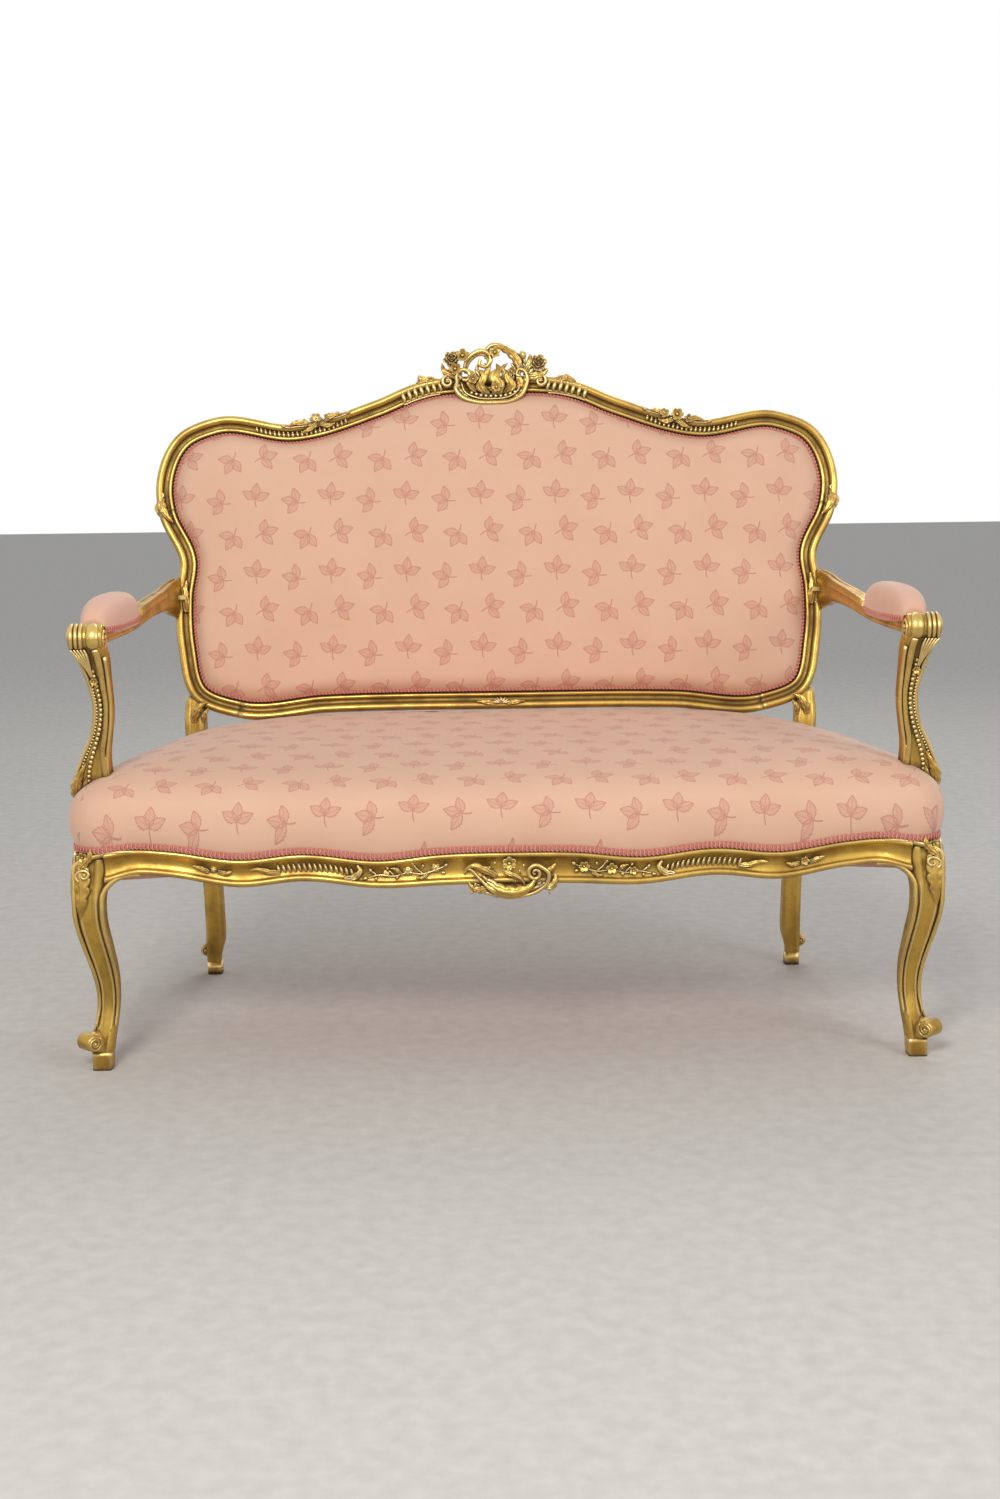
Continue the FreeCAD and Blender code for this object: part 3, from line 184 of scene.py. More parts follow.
def post(name, stages, ring, steps=6):
    # grows a post through stages of (middle, half across, half deep); ring is its section, one unit across
    middles = smoothLine([s[0] for s in stages], steps=steps)
    halves = smoothLine([Vector((s[1], s[2], k * 0.03)) for k, s in enumerate(stages)], steps=steps)
    loop = ring + [ring[0]]

    def place(i, j):
        x, y = loop[j]
        return middles[i] + Vector((x * halves[i].x, y * halves[i].y, 0))

    return shapedGrid(name, len(middles) - 1, len(loop) - 1, place, capped=True)


def mouldedRing(count=48, power=3.2, flute=0.10, faces=(0, 1, 2, 3)):
    # a rounded square with a shallow channel down the chosen faces
    ring = []
    for k in range(count):
        a = 2 * math.pi * (k + 0.5) / count
        c, s = math.cos(a), math.sin(a)
        reach = (abs(c) ** power + abs(s) ** power) ** (-1 / power)
        face = int(round(a / (math.pi / 2))) % 4
        middle = max(0.0, math.cos(4 * a))
        if face in faces:
            reach -= flute * min(1.0, middle * 1.8) ** 0.7
        ring.append((c * reach, s * reach))
    return ring


def tube(name, line, radius, sides=10, flat=1.0, up=Vector((0, 0, 1))):
    # a carved roll along a line; radius is a list read along it
    section = [(math.cos(2 * math.pi * k / sides), flat * math.sin(2 * math.pi * k / sides)) for k in range(sides)]

    def grow(u):
        at = u * (len(radius) - 1)
        k = min(int(at), len(radius) - 2)
        r = radius[k] + (radius[k + 1] - radius[k]) * (at - k)
        return r, r

    return sweep(name, line, section, up, grow=grow)


def join(name, parts):
    pickNothing()
    for part in parts:
        part.select_set(True)
    bpy.context.view_layer.objects.active = parts[0]
    if len(parts) > 1:
        bpy.ops.object.join()
    whole = bpy.context.object
    whole.name = name
    return whole


def applied(piece, kind, **values):
    # adds one modifier and applies it
    pickNothing()
    piece.select_set(True)
    bpy.context.view_layer.objects.active = piece
    modifier = piece.modifiers.new(kind, kind)
    for key, value in values.items():
        setattr(modifier, key, value)
    bpy.ops.object.modifier_apply(modifier=modifier.name)
    return piece


def moved(piece, matrix):
    # puts a piece in its place, in its mesh
    piece.data.transform(matrix)
    piece.data.update()
    return piece


def twin(piece, matrix, name=None):
    # one more of the same, with a mesh of its own
    other = piece.copy()
    other.data = piece.data.copy()
    bpy.context.scene.collection.objects.link(other)
    if name:
        other.name = name
    other.data.transform(matrix)
    if matrix.determinant() < 0:
        other.data.flip_normals()
    return other


mirrorX = Matrix.Scale(-1, 4, Vector((1, 0, 0)))


def bothSides(parts, title, finish, slotName, nodeTitle):
    # joins the right-hand piece and mirrors it for the left
    right = join("right" + title, parts)
    left = twin(right, mirrorX, "left" + title)
    dressed(right, finish, slotName, "right_" + nodeTitle)
    dressed(left, finish, slotName, "left_" + nodeTitle)


def scattered(name, unit, places):
    # copies of one small shape in one mesh; each place is a matrix
    points = [v.co.copy() for v in unit.data.vertices]
    faces = [tuple(f.vertices) for f in unit.data.polygons]
    allPoints, allFaces = [], []
    for place in places:
        base = len(allPoints)
        allPoints += [place @ p for p in points]
        turned = place.determinant() < 0
        allFaces += [tuple(base + k for k in (reversed(f) if turned else f)) for f in faces]
    mesh = bpy.data.meshes.new(name)
    mesh.from_pydata(allPoints, [], allFaces)
    mesh.polygons.foreach_set("use_smooth", [True] * len(allFaces))
    mesh.update()
    bpy.data.objects.remove(unit)
    whole = bpy.data.objects.new(name, mesh)
    bpy.context.scene.collection.objects.link(whole)
    return whole


# The finishes
def newMaterial(name):
    material = bpy.data.materials.new(name)
    material.use_nodes = True
    tree = material.node_tree
    tree.nodes.clear()
    return material, tree


def node(tree, kind, **values):
    made = tree.nodes.new(kind)
    for key, value in values.items():
        setattr(made, key, value)
    return made


def wire(tree, source, target):
    tree.links.new(source, target)


def maths(tree, what, a, b=None, c=None, clamp=False):
    made = node(tree, "ShaderNodeMath", operation=what, use_clamp=clamp)
    for socket, value in zip(made.inputs, (a, b, c)):
        if value is None:
            continue
        if isinstance(value, (int, float)):
            socket.default_value = value
        else:
            wire(tree, value, socket)
    return made.outputs[0]


def mixed(tree, share, first, second):
    made = node(tree, "ShaderNodeMix", data_type="RGBA")
    for socket, value in ((made.inputs[0], share), (made.inputs[6], first), (made.inputs[7], second)):
        if isinstance(value, (int, float)):
            socket.default_value = value
        elif isinstance(value, tuple):
            socket.default_value = (*value, 1)
        else:
            wire(tree, value, socket)
    return made.outputs[2]


def ranged(tree, value, low, high, first=0.0, last=1.0):
    made = node(tree, "ShaderNodeMapRange")
    wire(tree, value, made.inputs[0])
    for k, number in zip((1, 2, 3, 4), (low, high, first, last)):
        made.inputs[k].default_value = number
    return made.outputs[0]


def noiseOf(tree, vector, scale, detail=3.0, rough=0.5):
    made = node(tree, "ShaderNodeTexNoise")
    wire(tree, vector, made.inputs["Vector"])
    made.inputs["Scale"].default_value = scale
    made.inputs["Detail"].default_value = detail
    made.inputs["Roughness"].default_value = rough
    return made.outputs[0]


def vectors(tree, what, *sources, scale=None):
    made = node(tree, "ShaderNodeVectorMath", operation=what)
    for socket, source in zip(made.inputs, sources):
        wire(tree, source, socket)
    if scale is not None:
        made.inputs["Scale"].default_value = scale
    return made.outputs[0]


def shaded(tree, tone, height, strength, distance):
    # a shader with its tone and relief, wired to the output
    shader = node(tree, "ShaderNodeBsdfPrincipled")
    wire(tree, tone, shader.inputs["Base Color"])
    bump = node(tree, "ShaderNodeBump")
    bump.inputs["Strength"].default_value = strength
    bump.inputs["Distance"].default_value = distance
    wire(tree, height, bump.inputs["Height"])
    wire(tree, bump.outputs[0], shader.inputs["Normal"])
    wire(tree, shader.outputs[0], node(tree, "ShaderNodeOutputMaterial").inputs[0])
    return shader


def newGroup(name, inputs, outputs):
    group = bpy.data.node_groups.new(name, "ShaderNodeTree")
    for title, kind, value in inputs:
        socket = group.interface.new_socket(title, in_out="INPUT", socket_type=kind)
        if value is not None:
            socket.default_value = value
    for title, kind in outputs:
        group.interface.new_socket(title, in_out="OUTPUT", socket_type=kind)
    return group, group.nodes.new("NodeGroupInput"), group.nodes.new("NodeGroupOutput")


def wearAndPaintedLight():
    # masks for where the carving is deep (patina and painted shade), where it is proud (painted highlight), and the
    # patches of old gilding between
    group, given, out = newGroup("wearAndPaintedLight", [
        ("Depth", "NodeSocketFloat", 0.012), ("Patch Scale", "NodeSocketFloat", 28.0)],
        [("Recess", "NodeSocketFloat"), ("Edge", "NodeSocketFloat"), ("Patch", "NodeSocketFloat")])
    place = group.nodes.new("ShaderNodeTexCoord").outputs["Object"]
    hollow = group.nodes.new("ShaderNodeAmbientOcclusion")
    hollow.samples = 8
    wire(group, given.outputs["Depth"], hollow.inputs["Distance"])
    # the occluded hollows, mottled by noise: patina and painted shade
    grimeAndShade = noiseOf(group, place, 90.0, 4.0, 0.6)
    deep = ranged(group, hollow.outputs["AO"], 0.92, 0.42)
    deep = maths(group, "ADD", deep, maths(group, "MULTIPLY", maths(group, "SUBTRACT", grimeAndShade, 0.5), 0.5), clamp=True)
    # the pointed edges: painted highlight
    bend = group.nodes.new("ShaderNodeNewGeometry").outputs["Pointiness"]
    proud = ranged(group, bend, 0.515, 0.60)
    patch = group.nodes.new("ShaderNodeTexNoise")
    wire(group, place, patch.inputs["Vector"])
    wire(group, given.outputs["Patch Scale"], patch.inputs["Scale"])
    patch.inputs["Detail"].default_value = 5.0
    wire(group, deep, out.inputs["Recess"])
    wire(group, proud, out.inputs["Edge"])
    wire(group, ranged(group, patch.outputs[0], 0.42, 0.66), out.inputs["Patch"])
    return group


recessGroup = wearAndPaintedLight()


def giltMaterial(name, look):
    material, tree = newMaterial(name)
    wearAndLight = node(tree, "ShaderNodeGroup", node_tree=recessGroup)
    wearAndLight.inputs["Depth"].default_value = look["depth"]
    wearAndLight.inputs["Patch Scale"].default_value = look["patch"]
    place = node(tree, "ShaderNodeTexCoord").outputs["Object"]
    tone = mixed(tree, wearAndLight.outputs["Patch"], look["leaf"], look["dull"])
    # painted highlight: the proud edges are painted toward the bright gold
    tone = mixed(tree, maths(tree, "MULTIPLY", wearAndLight.outputs["Edge"], 0.75), tone, look["bright"])
    rub = ranged(tree, noiseOf(tree, place, 55.0, 6.0, 0.65), 0.60, 0.72)
    tone = mixed(tree, maths(tree, "MULTIPLY", rub, look["rubbed"]), tone, look["bole"])
    # patina and painted shade: the occluded recesses are painted dark umber
    tone = mixed(tree, maths(tree, "MULTIPLY", wearAndLight.outputs["Recess"], look["grimeAndShade"]), tone, look["umber"])
    shader = shaded(tree, tone, noiseOf(tree, place, 140.0, 4.0, 0.6), 0.22, 0.0012)
    metal = maths(tree, "SUBTRACT", look["metal"], maths(tree, "MULTIPLY", wearAndLight.outputs["Recess"], 0.7), clamp=True)
    wire(tree, metal, shader.inputs["Metallic"])
    rough = maths(tree, "ADD", look["rough"], maths(tree, "MULTIPLY", wearAndLight.outputs["Patch"], 0.16))
    rough = maths(tree, "ADD", rough, maths(tree, "MULTIPLY", wearAndLight.outputs["Recess"], 0.3), clamp=True)
    wire(tree, rough, shader.inputs["Roughness"])
    return material


def leafSprig():
    # one woven leaf of three toothed lobes with its stalk, around the origin, in millimetres
    group, given, out = newGroup("leafSprig", [
        ("Place", "NodeSocketVector", None), ("Centre", "NodeSocketVector", None),
        ("Cell", "NodeSocketVector", (129.0, 132.0, 1.0)), ("Turn", "NodeSocketFloat", 0.0)],
        [("Leaf", "NodeSocketFloat"), ("Line", "NodeSocketFloat")])
    times, plus, less, most, past, under, power, sine, size = (
        lambda a, b=None, what=what: maths(group, what, a, b)
        for what in ("MULTIPLY", "ADD", "SUBTRACT", "MAXIMUM", "GREATER_THAN", "LESS_THAN", "POWER", "SINE",
                     "ABSOLUTE"))
    # the repeat of the pattern, with the leaf in its middle
    apart = vectors(group, "SUBTRACT", given.outputs["Place"], given.outputs["Centre"])
    high = vectors(group, "SCALE", given.outputs["Cell"], scale=0.5)
    low = vectors(group, "SCALE", given.outputs["Cell"], scale=-0.5)
    spin = node(group, "ShaderNodeVectorRotate", rotation_type="Z_AXIS")
    wire(group, vectors(group, "WRAP", apart, high, low), spin.inputs["Vector"])
    wire(group, given.outputs["Turn"], spin.inputs["Angle"])
    split = node(group, "ShaderNodeSeparateXYZ")
    wire(group, spin.outputs[0], split.inputs[0])
    x, y = split.outputs[0], split.outputs[1]
    leaf = line = None
    for turn, length, half in ((0, 29.0, 7.9), (64, 27.0, 7.4), (-62, 26.0, 7.6)):
        c, s = math.cos(math.radians(turn)), math.sin(math.radians(turn))
        along = plus(times(x, s), times(y, c))
        side = size(less(times(x, c), times(y, s)))
        share = maths(group, "DIVIDE", along, length)
        tooth = maths(group, "MULTIPLY_ADD", sine(times(along, 1.35)), 0.09, 1.0)
        wide = times(times(sine(times(power(most(share, 0.0), 0.80), math.pi)), half), tooth)
        wide = times(wide, times(past(share, 0.0), under(share, 1.0)))
        inside = less(wide, side)
        lobe = times(ranged(group, inside, -0.3, 0.7), past(wide, 0.4))
        rim = times(ranged(group, size(less(inside, 0.5)), 0.5, 1.3, 1.0, 0.0), past(wide, 0.4))
        rib = times(ranged(group, side, 0.25, 0.9, 0.75, 0.0), lobe)
        veins = times(past(sine(times(less(along, side), 1.5)), 0.55), times(lobe, 0.32))
        marks = most(most(rim, rib), veins)
        leaf = lobe if leaf is None else most(leaf, lobe)
        line = marks if line is None else most(line, marks)
    bow = less(x, times(times(y, y), 0.016))
    stalk = times(ranged(group, size(bow), 0.6, 1.4, 1.0, 0.0), times(under(y, 1.0), past(y, -14.5)))
    wire(group, most(leaf, stalk), out.inputs["Leaf"])
    wire(group, most(line, stalk), out.inputs["Line"])
    return group


sprigGroup = leafSprig()


def clothWeave():
    # fine threads and slow changes of shade
    group, given, out = newGroup("clothWeave", [
        ("Threads", "NodeSocketFloat", 1400.0), ("Place", "NodeSocketVector", None)],
        [("Relief", "NodeSocketFloat"), ("Shade", "NodeSocketFloat")])
    spot = given.outputs["Place"]
    split = node(group, "ShaderNodeSeparateXYZ")
    wire(group, spot, split.inputs[0])
    across = maths(group, "SINE", maths(group, "MULTIPLY", split.outputs[0], given.outputs["Threads"]))
    along = maths(group, "SINE", maths(group, "MULTIPLY", split.outputs[1], given.outputs["Threads"]))
    wire(group, maths(group, "MULTIPLY_ADD", maths(group, "MULTIPLY", across, along), 0.5, 0.5), out.inputs["Relief"])
    wire(group, noiseOf(group, spot, 9.0, 4.0, 0.55), out.inputs["Shade"])
    return group


weaveGroup = clothWeave()


def clothMaterial(name, look):
    material, tree = newMaterial(name)
    # the cloth's own map is in metres
    spot = node(tree, "ShaderNodeUVMap", uv_map="clothMap").outputs[0]
    weave = node(tree, "ShaderNodeGroup", node_tree=weaveGroup)
    weave.inputs["Threads"].default_value = look["threads"]
    wire(tree, spot, weave.inputs["Place"])
    tone = mixed(tree, ranged(tree, weave.outputs["Shade"], 0.3, 0.7), look["ground"], look["shade"])
    height = maths(tree, "MULTIPLY", weave.outputs["Relief"], 0.25)
    if look["sprigs"]:
        inMillimetres = vectors(tree, "SCALE", spot, scale=1000.0)
        leaf = line = None
        for centre, turn in look["sprigs"]:
            sprig = node(tree, "ShaderNodeGroup", node_tree=sprigGroup)
            wire(tree, inMillimetres, sprig.inputs["Place"])
            sprig.inputs["Centre"].default_value = (*centre, 0.0)
            sprig.inputs["Turn"].default_value = math.radians(turn)
            shape, drawn = sprig.outputs["Leaf"], sprig.outputs["Line"]
            leaf = shape if leaf is None else maths(tree, "MAXIMUM", leaf, shape)
            line = drawn if line is None else maths(tree, "MAXIMUM", line, drawn)
        tone = mixed(tree, maths(tree, "MULTIPLY", leaf, 0.44), tone, look["leaf"])
        tone = mixed(tree, maths(tree, "MULTIPLY", line, 0.72), tone, look["line"])
        height = maths(tree, "ADD", height, maths(tree, "MULTIPLY", leaf, 0.5))
        height = maths(tree, "SUBTRACT", height, maths(tree, "MULTIPLY", line, 0.3))
    shader = shaded(tree, tone, height, 0.35, 0.0006)
    shader.inputs["Roughness"].default_value = look["rough"]
    shader.inputs["Sheen Weight"].default_value = look["sheen"]
    shader.inputs["Sheen Roughness"].default_value = 0.4
    return material


def plainMaterial(name, look):
    # wood, jute, wire and stuffing: two tones by a stretched noise, painted shade in the recesses, and its relief
    material, tree = newMaterial(name)
    place = node(tree, "ShaderNodeTexCoord").outputs["Object"]
    stretch = node(tree, "ShaderNodeMapping")
    stretch.inputs["Scale"].default_value = look["grain"]
    wire(tree, place, stretch.inputs["Vector"])
    grain = noiseOf(tree, stretch.outputs[0], look["scale"], 5.0, 0.6)
    tone = mixed(tree, ranged(tree, grain, 0.32, 0.68), look["first"], look["second"])
    wearAndLight = node(tree, "ShaderNodeGroup", node_tree=recessGroup)
    wearAndLight.inputs["Depth"].default_value = 0.015
    # painted shade: darker in the recesses, by the occlusion mask
    tone = mixed(tree, maths(tree, "MULTIPLY", wearAndLight.outputs["Recess"], 0.45), tone, look["recessShade"])
    shader = shaded(tree, tone, grain, 0.3, 0.001)
    shader.inputs["Metallic"].default_value = look["metal"]
    wire(tree, ranged(tree, grain, 0.2, 0.8, look["rough"] - 0.1, look["rough"] + 0.1), shader.inputs["Roughness"])
    return material


# in both gildings the bright tone is painted highlight on the proud edges, and the umber is patina and painted shade
# in the recesses
gilt = giltMaterial("agedGilding", {
    "leaf": (0.60, 0.375, 0.075), "dull": (0.36, 0.205, 0.040), "bright": (0.98, 0.77, 0.34),
    "bole": (0.22, 0.075, 0.03), "umber": (0.060, 0.026, 0.008), "rubbed": 0.35, "grimeAndShade": 0.92, "metal": 0.92,
    "rough": 0.27, "depth": 0.011, "patch": 22.0})
carvedGilt = giltMaterial("carvedGilding", {
    "leaf": (0.62, 0.385, 0.085), "dull": (0.35, 0.20, 0.042), "bright": (1.0, 0.82, 0.42),
    "bole": (0.20, 0.07, 0.03), "umber": (0.050, 0.021, 0.007), "rubbed": 0.25, "grimeAndShade": 0.95, "metal": 0.92,
    "rough": 0.25, "depth": 0.010, "patch": 40.0})
damask = clothMaterial("leafDamask", {
    "ground": (0.800, 0.500, 0.355), "shade": (0.765, 0.465, 0.325), "leaf": (0.690, 0.335, 0.245),
    "line": (0.560, 0.220, 0.165), "threads": 5200.0, "rough": 0.72, "sheen": 0.35,
    "sprigs": [((0, 0), 6), ((72, -7), -77), ((12, -60), 73), ((91, -63), -150)]})
padCloth = clothMaterial("plainPadCloth", {
    "ground": (0.800, 0.490, 0.370), "shade": (0.760, 0.450, 0.335), "threads": 5200.0,
    "rough": 0.72, "sheen": 0.35, "sprigs": []})
lining = clothMaterial("liningCloth", {
    "ground": (0.640, 0.330, 0.270), "shade": (0.580, 0.290, 0.235), "threads": 3600.0,
    "rough": 0.9, "sheen": 0.1, "sprigs": []})
roseBraid = plainMaterial("roseBraid", {
    "grain": (1, 1, 1), "scale": 260.0, "first": (0.62, 0.20, 0.155), "second": (0.78, 0.36, 0.28),
    "recessShade": (0.30, 0.06, 0.05), "metal": 0.0, "rough": 0.75})
beech = plainMaterial("bareBeech", {
    "grain": (1, 12, 12), "scale": 14.0, "first": (0.42, 0.26, 0.14), "second": (0.56, 0.38, 0.22),
    "recessShade": (0.14, 0.08, 0.05), "metal": 0.0, "rough": 0.65})
jute = plainMaterial("juteCloth", {
    "grain": (1, 1, 1), "scale": 320.0, "first": (0.40, 0.30, 0.17), "second": (0.55, 0.44, 0.28),
    "recessShade": (0.18, 0.12, 0.07), "metal": 0.0, "rough": 0.9})
blackWire = plainMaterial("drawnWire", {
    "grain": (1, 1, 1), "scale": 120.0, "first": (0.30, 0.29, 0.28), "second": (0.18, 0.17, 0.16),
    "recessShade": (0.10, 0.05, 0.03), "metal": 0.9, "rough": 0.45})
print("finishes ready")


def dressed(piece, material, slotName, *stands):
    # the last step of each piece: its finish, its body and the node it stands for
    piece.data.materials.clear()
    piece.data.materials.append(material)
    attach(piece, "root")
    if stands:
        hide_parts(*stands)
    return piece


def clothMap(piece, read):
    # lays the cloth's map over a piece, in metres
    layers = piece.data.uv_layers
    while layers:
        layers.remove(layers[0])
    layer = layers.new(name="clothMap")
    for face in piece.data.polygons:
        for k in face.loop_indices:
            point = piece.data.vertices[piece.data.loops[k].vertex_index]
            layer.data[k].uv = read(point.co, point.normal)


# The moulded frame of the back, its line given as (x, height)
backLine = {
    "right": [(0.452, 0.474), (0.519, 0.501), (0.541, 0.580), (0.544, 0.668), (0.537, 0.725), (0.573, 0.812),
              (0.577, 0.852), (0.542, 0.933), (0.488, 0.956), (0.352, 0.943), (0.206, 0.983), (0.130, 1.013)],
    "apex": 1.022, "low": [(0.302, 0.481), (0.0, 0.483)], "face": 0.031, "deep": 0.040, "steps": 14}


def arc(cx, cy, radius, start, stop, count):
    return [(cx + radius * math.cos(math.radians(start + (stop - start) * k / count)),
             cy + radius * math.sin(math.radians(start + (stop - start) * k / count))) for k in range(count + 1)]


def frameSection():
    # outer bead, quirk, cove, inner bead and fillet, seen with the outside at the left
    h, deep = backLine["face"] / 2, backLine["deep"]
    section = [(-h + 0.006, -deep), (-h + 0.001, -deep + 0.004), (-h, -0.010)]
    section += arc(-h + 0.0068, -0.0068, 0.0068, 180, 20, 9)
    section += [(-h + 0.0140, -0.0092)]
    section += arc(0.0028, -0.0040, 0.0062, 200, 335, 6)
    section += arc(h - 0.0058, -0.0052, 0.0034, 170, 5, 7)
    section += [(h - 0.0022, -0.0072), (h - 0.0002, -0.0078), (h, -0.0095), (h, -deep + 0.004), (h - 0.004, -deep)]
    return section


rightMarks = [Vector((x, slope(z), 0)) for x, z in backLine["right"]]
leftMarks = [Vector((-p.x, p.y, 0)) for p in reversed(rightMarks)]
lowRight = [Vector((x, slope(z), 0)) for x, z in backLine["low"]]
ringMarks = rightMarks + [Vector((0, slope(backLine["apex"]), 0))] + leftMarks
ringMarks += [Vector((-lowRight[0].x, lowRight[0].y, 0)), lowRight[1], lowRight[0]]
steps = backLine["steps"]
backRing = smoothLine(ringMarks, closed=True, steps=steps)
jointAt = 5 * steps
lastAt = (2 * len(rightMarks) + 1 - 6) * steps
frontUp = Vector((0, 0, 1))
sectionOfFrame = frameSection()


# from the drawing of the back to its place, and back again
backGrid = Matrix.Translation(backHinge) @ Matrix((Vector((1, 0, 0)), upSlope, offSlope)).transposed().to_4x4()
fromBack = backGrid.inverted()
backMiddle = (slope(backLine["apex"]) + slope(0.483)) / 2


def toBack(piece):
    return moved(piece, backGrid)


def backInward(i):
    # the way into the sight of the frame, square to its line
    way = (backRing[(i + 1) % len(backRing)] - backRing[i - 1]).normalized()
    return Vector((-way.y, way.x, 0))


def towardsMiddle(spot, middle):
    # where the strip of cloth that starts at a spot of the edge ends, in even steps on the middle line
    step, reach = 0.015, 0.30
    return Vector((max(-reach, min(reach, round(spot.x * 0.62 / step) * step)), middle, 0))


# The back legs
legShape = {
    "foot": 0.512, "line": 0.512, "footHalf": 0.012, "shinHalf": 0.017, "topHalf": 0.019, "top": 0.529}


def backLegStages():
    f, line, top = legShape["foot"], legShape["line"] - setback, legShape["top"]
    foot, shin, half = legShape["footHalf"], legShape["shinHalf"], legShape["topHalf"]
    lean = hingeLine + 0.020 - setback
    return [(Vector((f - 0.001, line + 0.012, 0.0)), foot, foot),
            (Vector((f, line + 0.010, 0.030)), foot + 0.001, foot + 0.001),
            (Vector((f - 0.005, line + 0.002, 0.064)), shin, shin - 0.001),
            (Vector((f - 0.0055, line - 0.004, 0.115)), shin, shin),
            (Vector((f - 0.004, line - 0.005, 0.165)), shin, shin),
            (Vector((f + 0.002, line - 0.003, 0.240)), half - 0.001, half - 0.001),
            (Vector((top - 0.0055, line, 0.320)), half, half),
            (Vector((top - 0.003, line + 0.003, 0.400)), half, half),
            (Vector((top, lean, hingeHeight)), half, half),
            (Vector((top, lean + 0.0088, 0.494)), half - 0.003, half - 0.002)]


def scrollDrum(spot, radius, length, way, name):
    # a volute: a drum whose two ends carry a spiral and an eye
    pickNothing()
    bpy.ops.mesh.primitive_cylinder_add(vertices=40, radius=radius, depth=length, end_fill_type="NGON")
    drum = bpy.context.object
    bpy.ops.object.mode_set(mode="EDIT")
    bpy.ops.mesh.select_all(action="SELECT")
    bpy.ops.mesh.bevel(offset=radius * 0.16, segments=3, affect="EDGES")
    bpy.ops.object.mode_set(mode="OBJECT")
    bpy.ops.object.shade_smooth_by_angle(angle=math.radians(40))
    parts = [drum]
    for end in (-1, 1):
        spiral = []
        for k in range(46):
            share = k / 45
            turn = share * 3.3 * math.pi
            reach = radius * (0.90 - 0.66 * share)
            spiral.append(Vector((reach * math.cos(turn) * end, reach * math.sin(turn), end * length * 0.5)))
        parts.append(tube("coil", spiral, [radius * 0.11, radius * 0.13, radius * 0.15], sides=8))
        bpy.ops.mesh.primitive_uv_sphere_add(segments=16, ring_count=8, radius=radius * 0.24,
                                             location=(0, 0, end * length * 0.5))
        bpy.context.object.data.transform(bpy.context.object.matrix_world)
        bpy.context.object.matrix_world = Matrix.Identity(4)
        bpy.ops.object.shade_smooth()
        parts.append(bpy.context.object)
    whole = join(name, parts)
    turn = Vector((0, 0, 1)).rotation_difference(way).to_matrix().to_4x4()
    return moved(whole, Matrix.Translation(spot) @ turn)


def makeBackFrame():
    stile = toBack(sweep("stile", backRing[:jointAt + 1], sectionOfFrame, frontUp))
    shaft = post("shaft", backLegStages(), mouldedRing(count=48, power=3.4, flute=0.10), steps=6)
    foot, line = legShape["foot"], legShape["line"] - setback
    curl = scrollDrum(Vector((foot + 0.0125, line + 0.014, 0.043)), 0.0105, 0.022, Vector((0, 1, 0)), "curl")
    step = post("step", [(Vector((foot - 0.001, line + 0.012, 0)), 0.0128, 0.0128),
                         (Vector((foot - 0.001, line + 0.012, 0.022)), 0.0135, 0.0135)],
                mouldedRing(count=32, power=6, flute=0.0), steps=2)
    bothSides([stile, shaft, curl, step], "BackLeg", gilt, "giltwood", "back_leg")
    crest = toBack(sweep("crestRail", backRing[jointAt:lastAt + 1], sectionOfFrame, frontUp))
    dressed(crest, gilt, "giltwood", "crest_rail")
    leftLoop = (2 * len(rightMarks)) * steps
    low = toBack(sweep("backLowerRail", backRing[leftLoop:] + [backRing[0]], sectionOfFrame, frontUp))
    dressed(low, gilt, "giltwood", "back_lower_rail")
    print("back frame built")


makeBackFrame()

# The seat rails
seatPlan = {
    "half": [(0.0, -0.050), (0.310, -0.038), (0.560, -0.024), (0.619, -0.019), (0.641, 0.002), (0.645, 0.050),
             (0.604, 0.290), (0.549, 0.465), (0.535, 0.492), (0.489, 0.498)],
    "back": 0.498, "steps": 24}
crestMarks = [(0, 0.335), (0.100, 0.333), (0.190, 0.324), (0.305, 0.334), (0.400, 0.326), (0.500, 0.339),
              (0.550, 0.342), (0.605, 0.336), (0.700, 0.336)]
hemMarks = [(0, 0.288), (0.100, 0.286), (0.190, 0.282), (0.305, 0.293), (0.400, 0.2845), (0.500, 0.300),
            (0.550, 0.303), (0.605, 0.290), (0.700, 0.290)]
planHalf = [Vector((x, y - setback, 0)) for x, y in seatPlan["half"]]
planMarks = planHalf + [Vector((0, seatPlan["back"] - setback, 0))]
planMarks += [Vector((-p.x, p.y, 0)) for p in reversed(planHalf[1:])]
planRing = smoothLine(planMarks, closed=True, steps=seatPlan["steps"])
planCount = len(planRing)
sideEnd = max(k for k in range(planCount // 2) if planRing[k].y + setback < 0.478 and planRing[k].x > 0.5)


def planNormal(i):
    way = (planRing[(i + 1) % planCount] - planRing[i - 1]).normalized()
    return Vector((way.y, -way.x, 0))


def railSection(top, bottom):
    # outward from the face and up: a bead under the cover, a sunk panel and a bead along the hem
    tall = top - bottom
    points = [(-0.034, top - 0.001), (-0.004, top - 0.0005)]
    points += arc(0.0005, top - 0.0042, 0.0042, 95, -60, 7)
    points += [(0.0012, top - 0.0095), (-0.0008, top - 0.0125), (-0.0026, top - 0.016)]
    points += [(-0.0030, bottom + tall * 0.5), (-0.0022, bottom + 0.0155), (-0.0004, bottom + 0.0120),
               (0.0004, bottom + 0.0100)]
    points += arc(0.0002, bottom + 0.0050, 0.0050, 62, -80, 7)
    points += [(-0.004, bottom + 0.0003), (-0.034, bottom + 0.004)]
    return points


def makeRail(name, indices, nodeName):
    def place(i, j):
        k = indices[i] % planCount
        spot = planRing[k]
        section = railSection(smoothAt(crestMarks, abs(spot.x)), smoothAt(hemMarks, abs(spot.x)))
        out, z = section[j % len(section)]
        return spot + planNormal(k) * out + Vector((0, 0, z))

    rail = shapedGrid(name, len(indices) - 1, len(railSection(0.34, 0.29)), place, capped=True)
    return dressed(rail, gilt, "giltwood", nodeName)


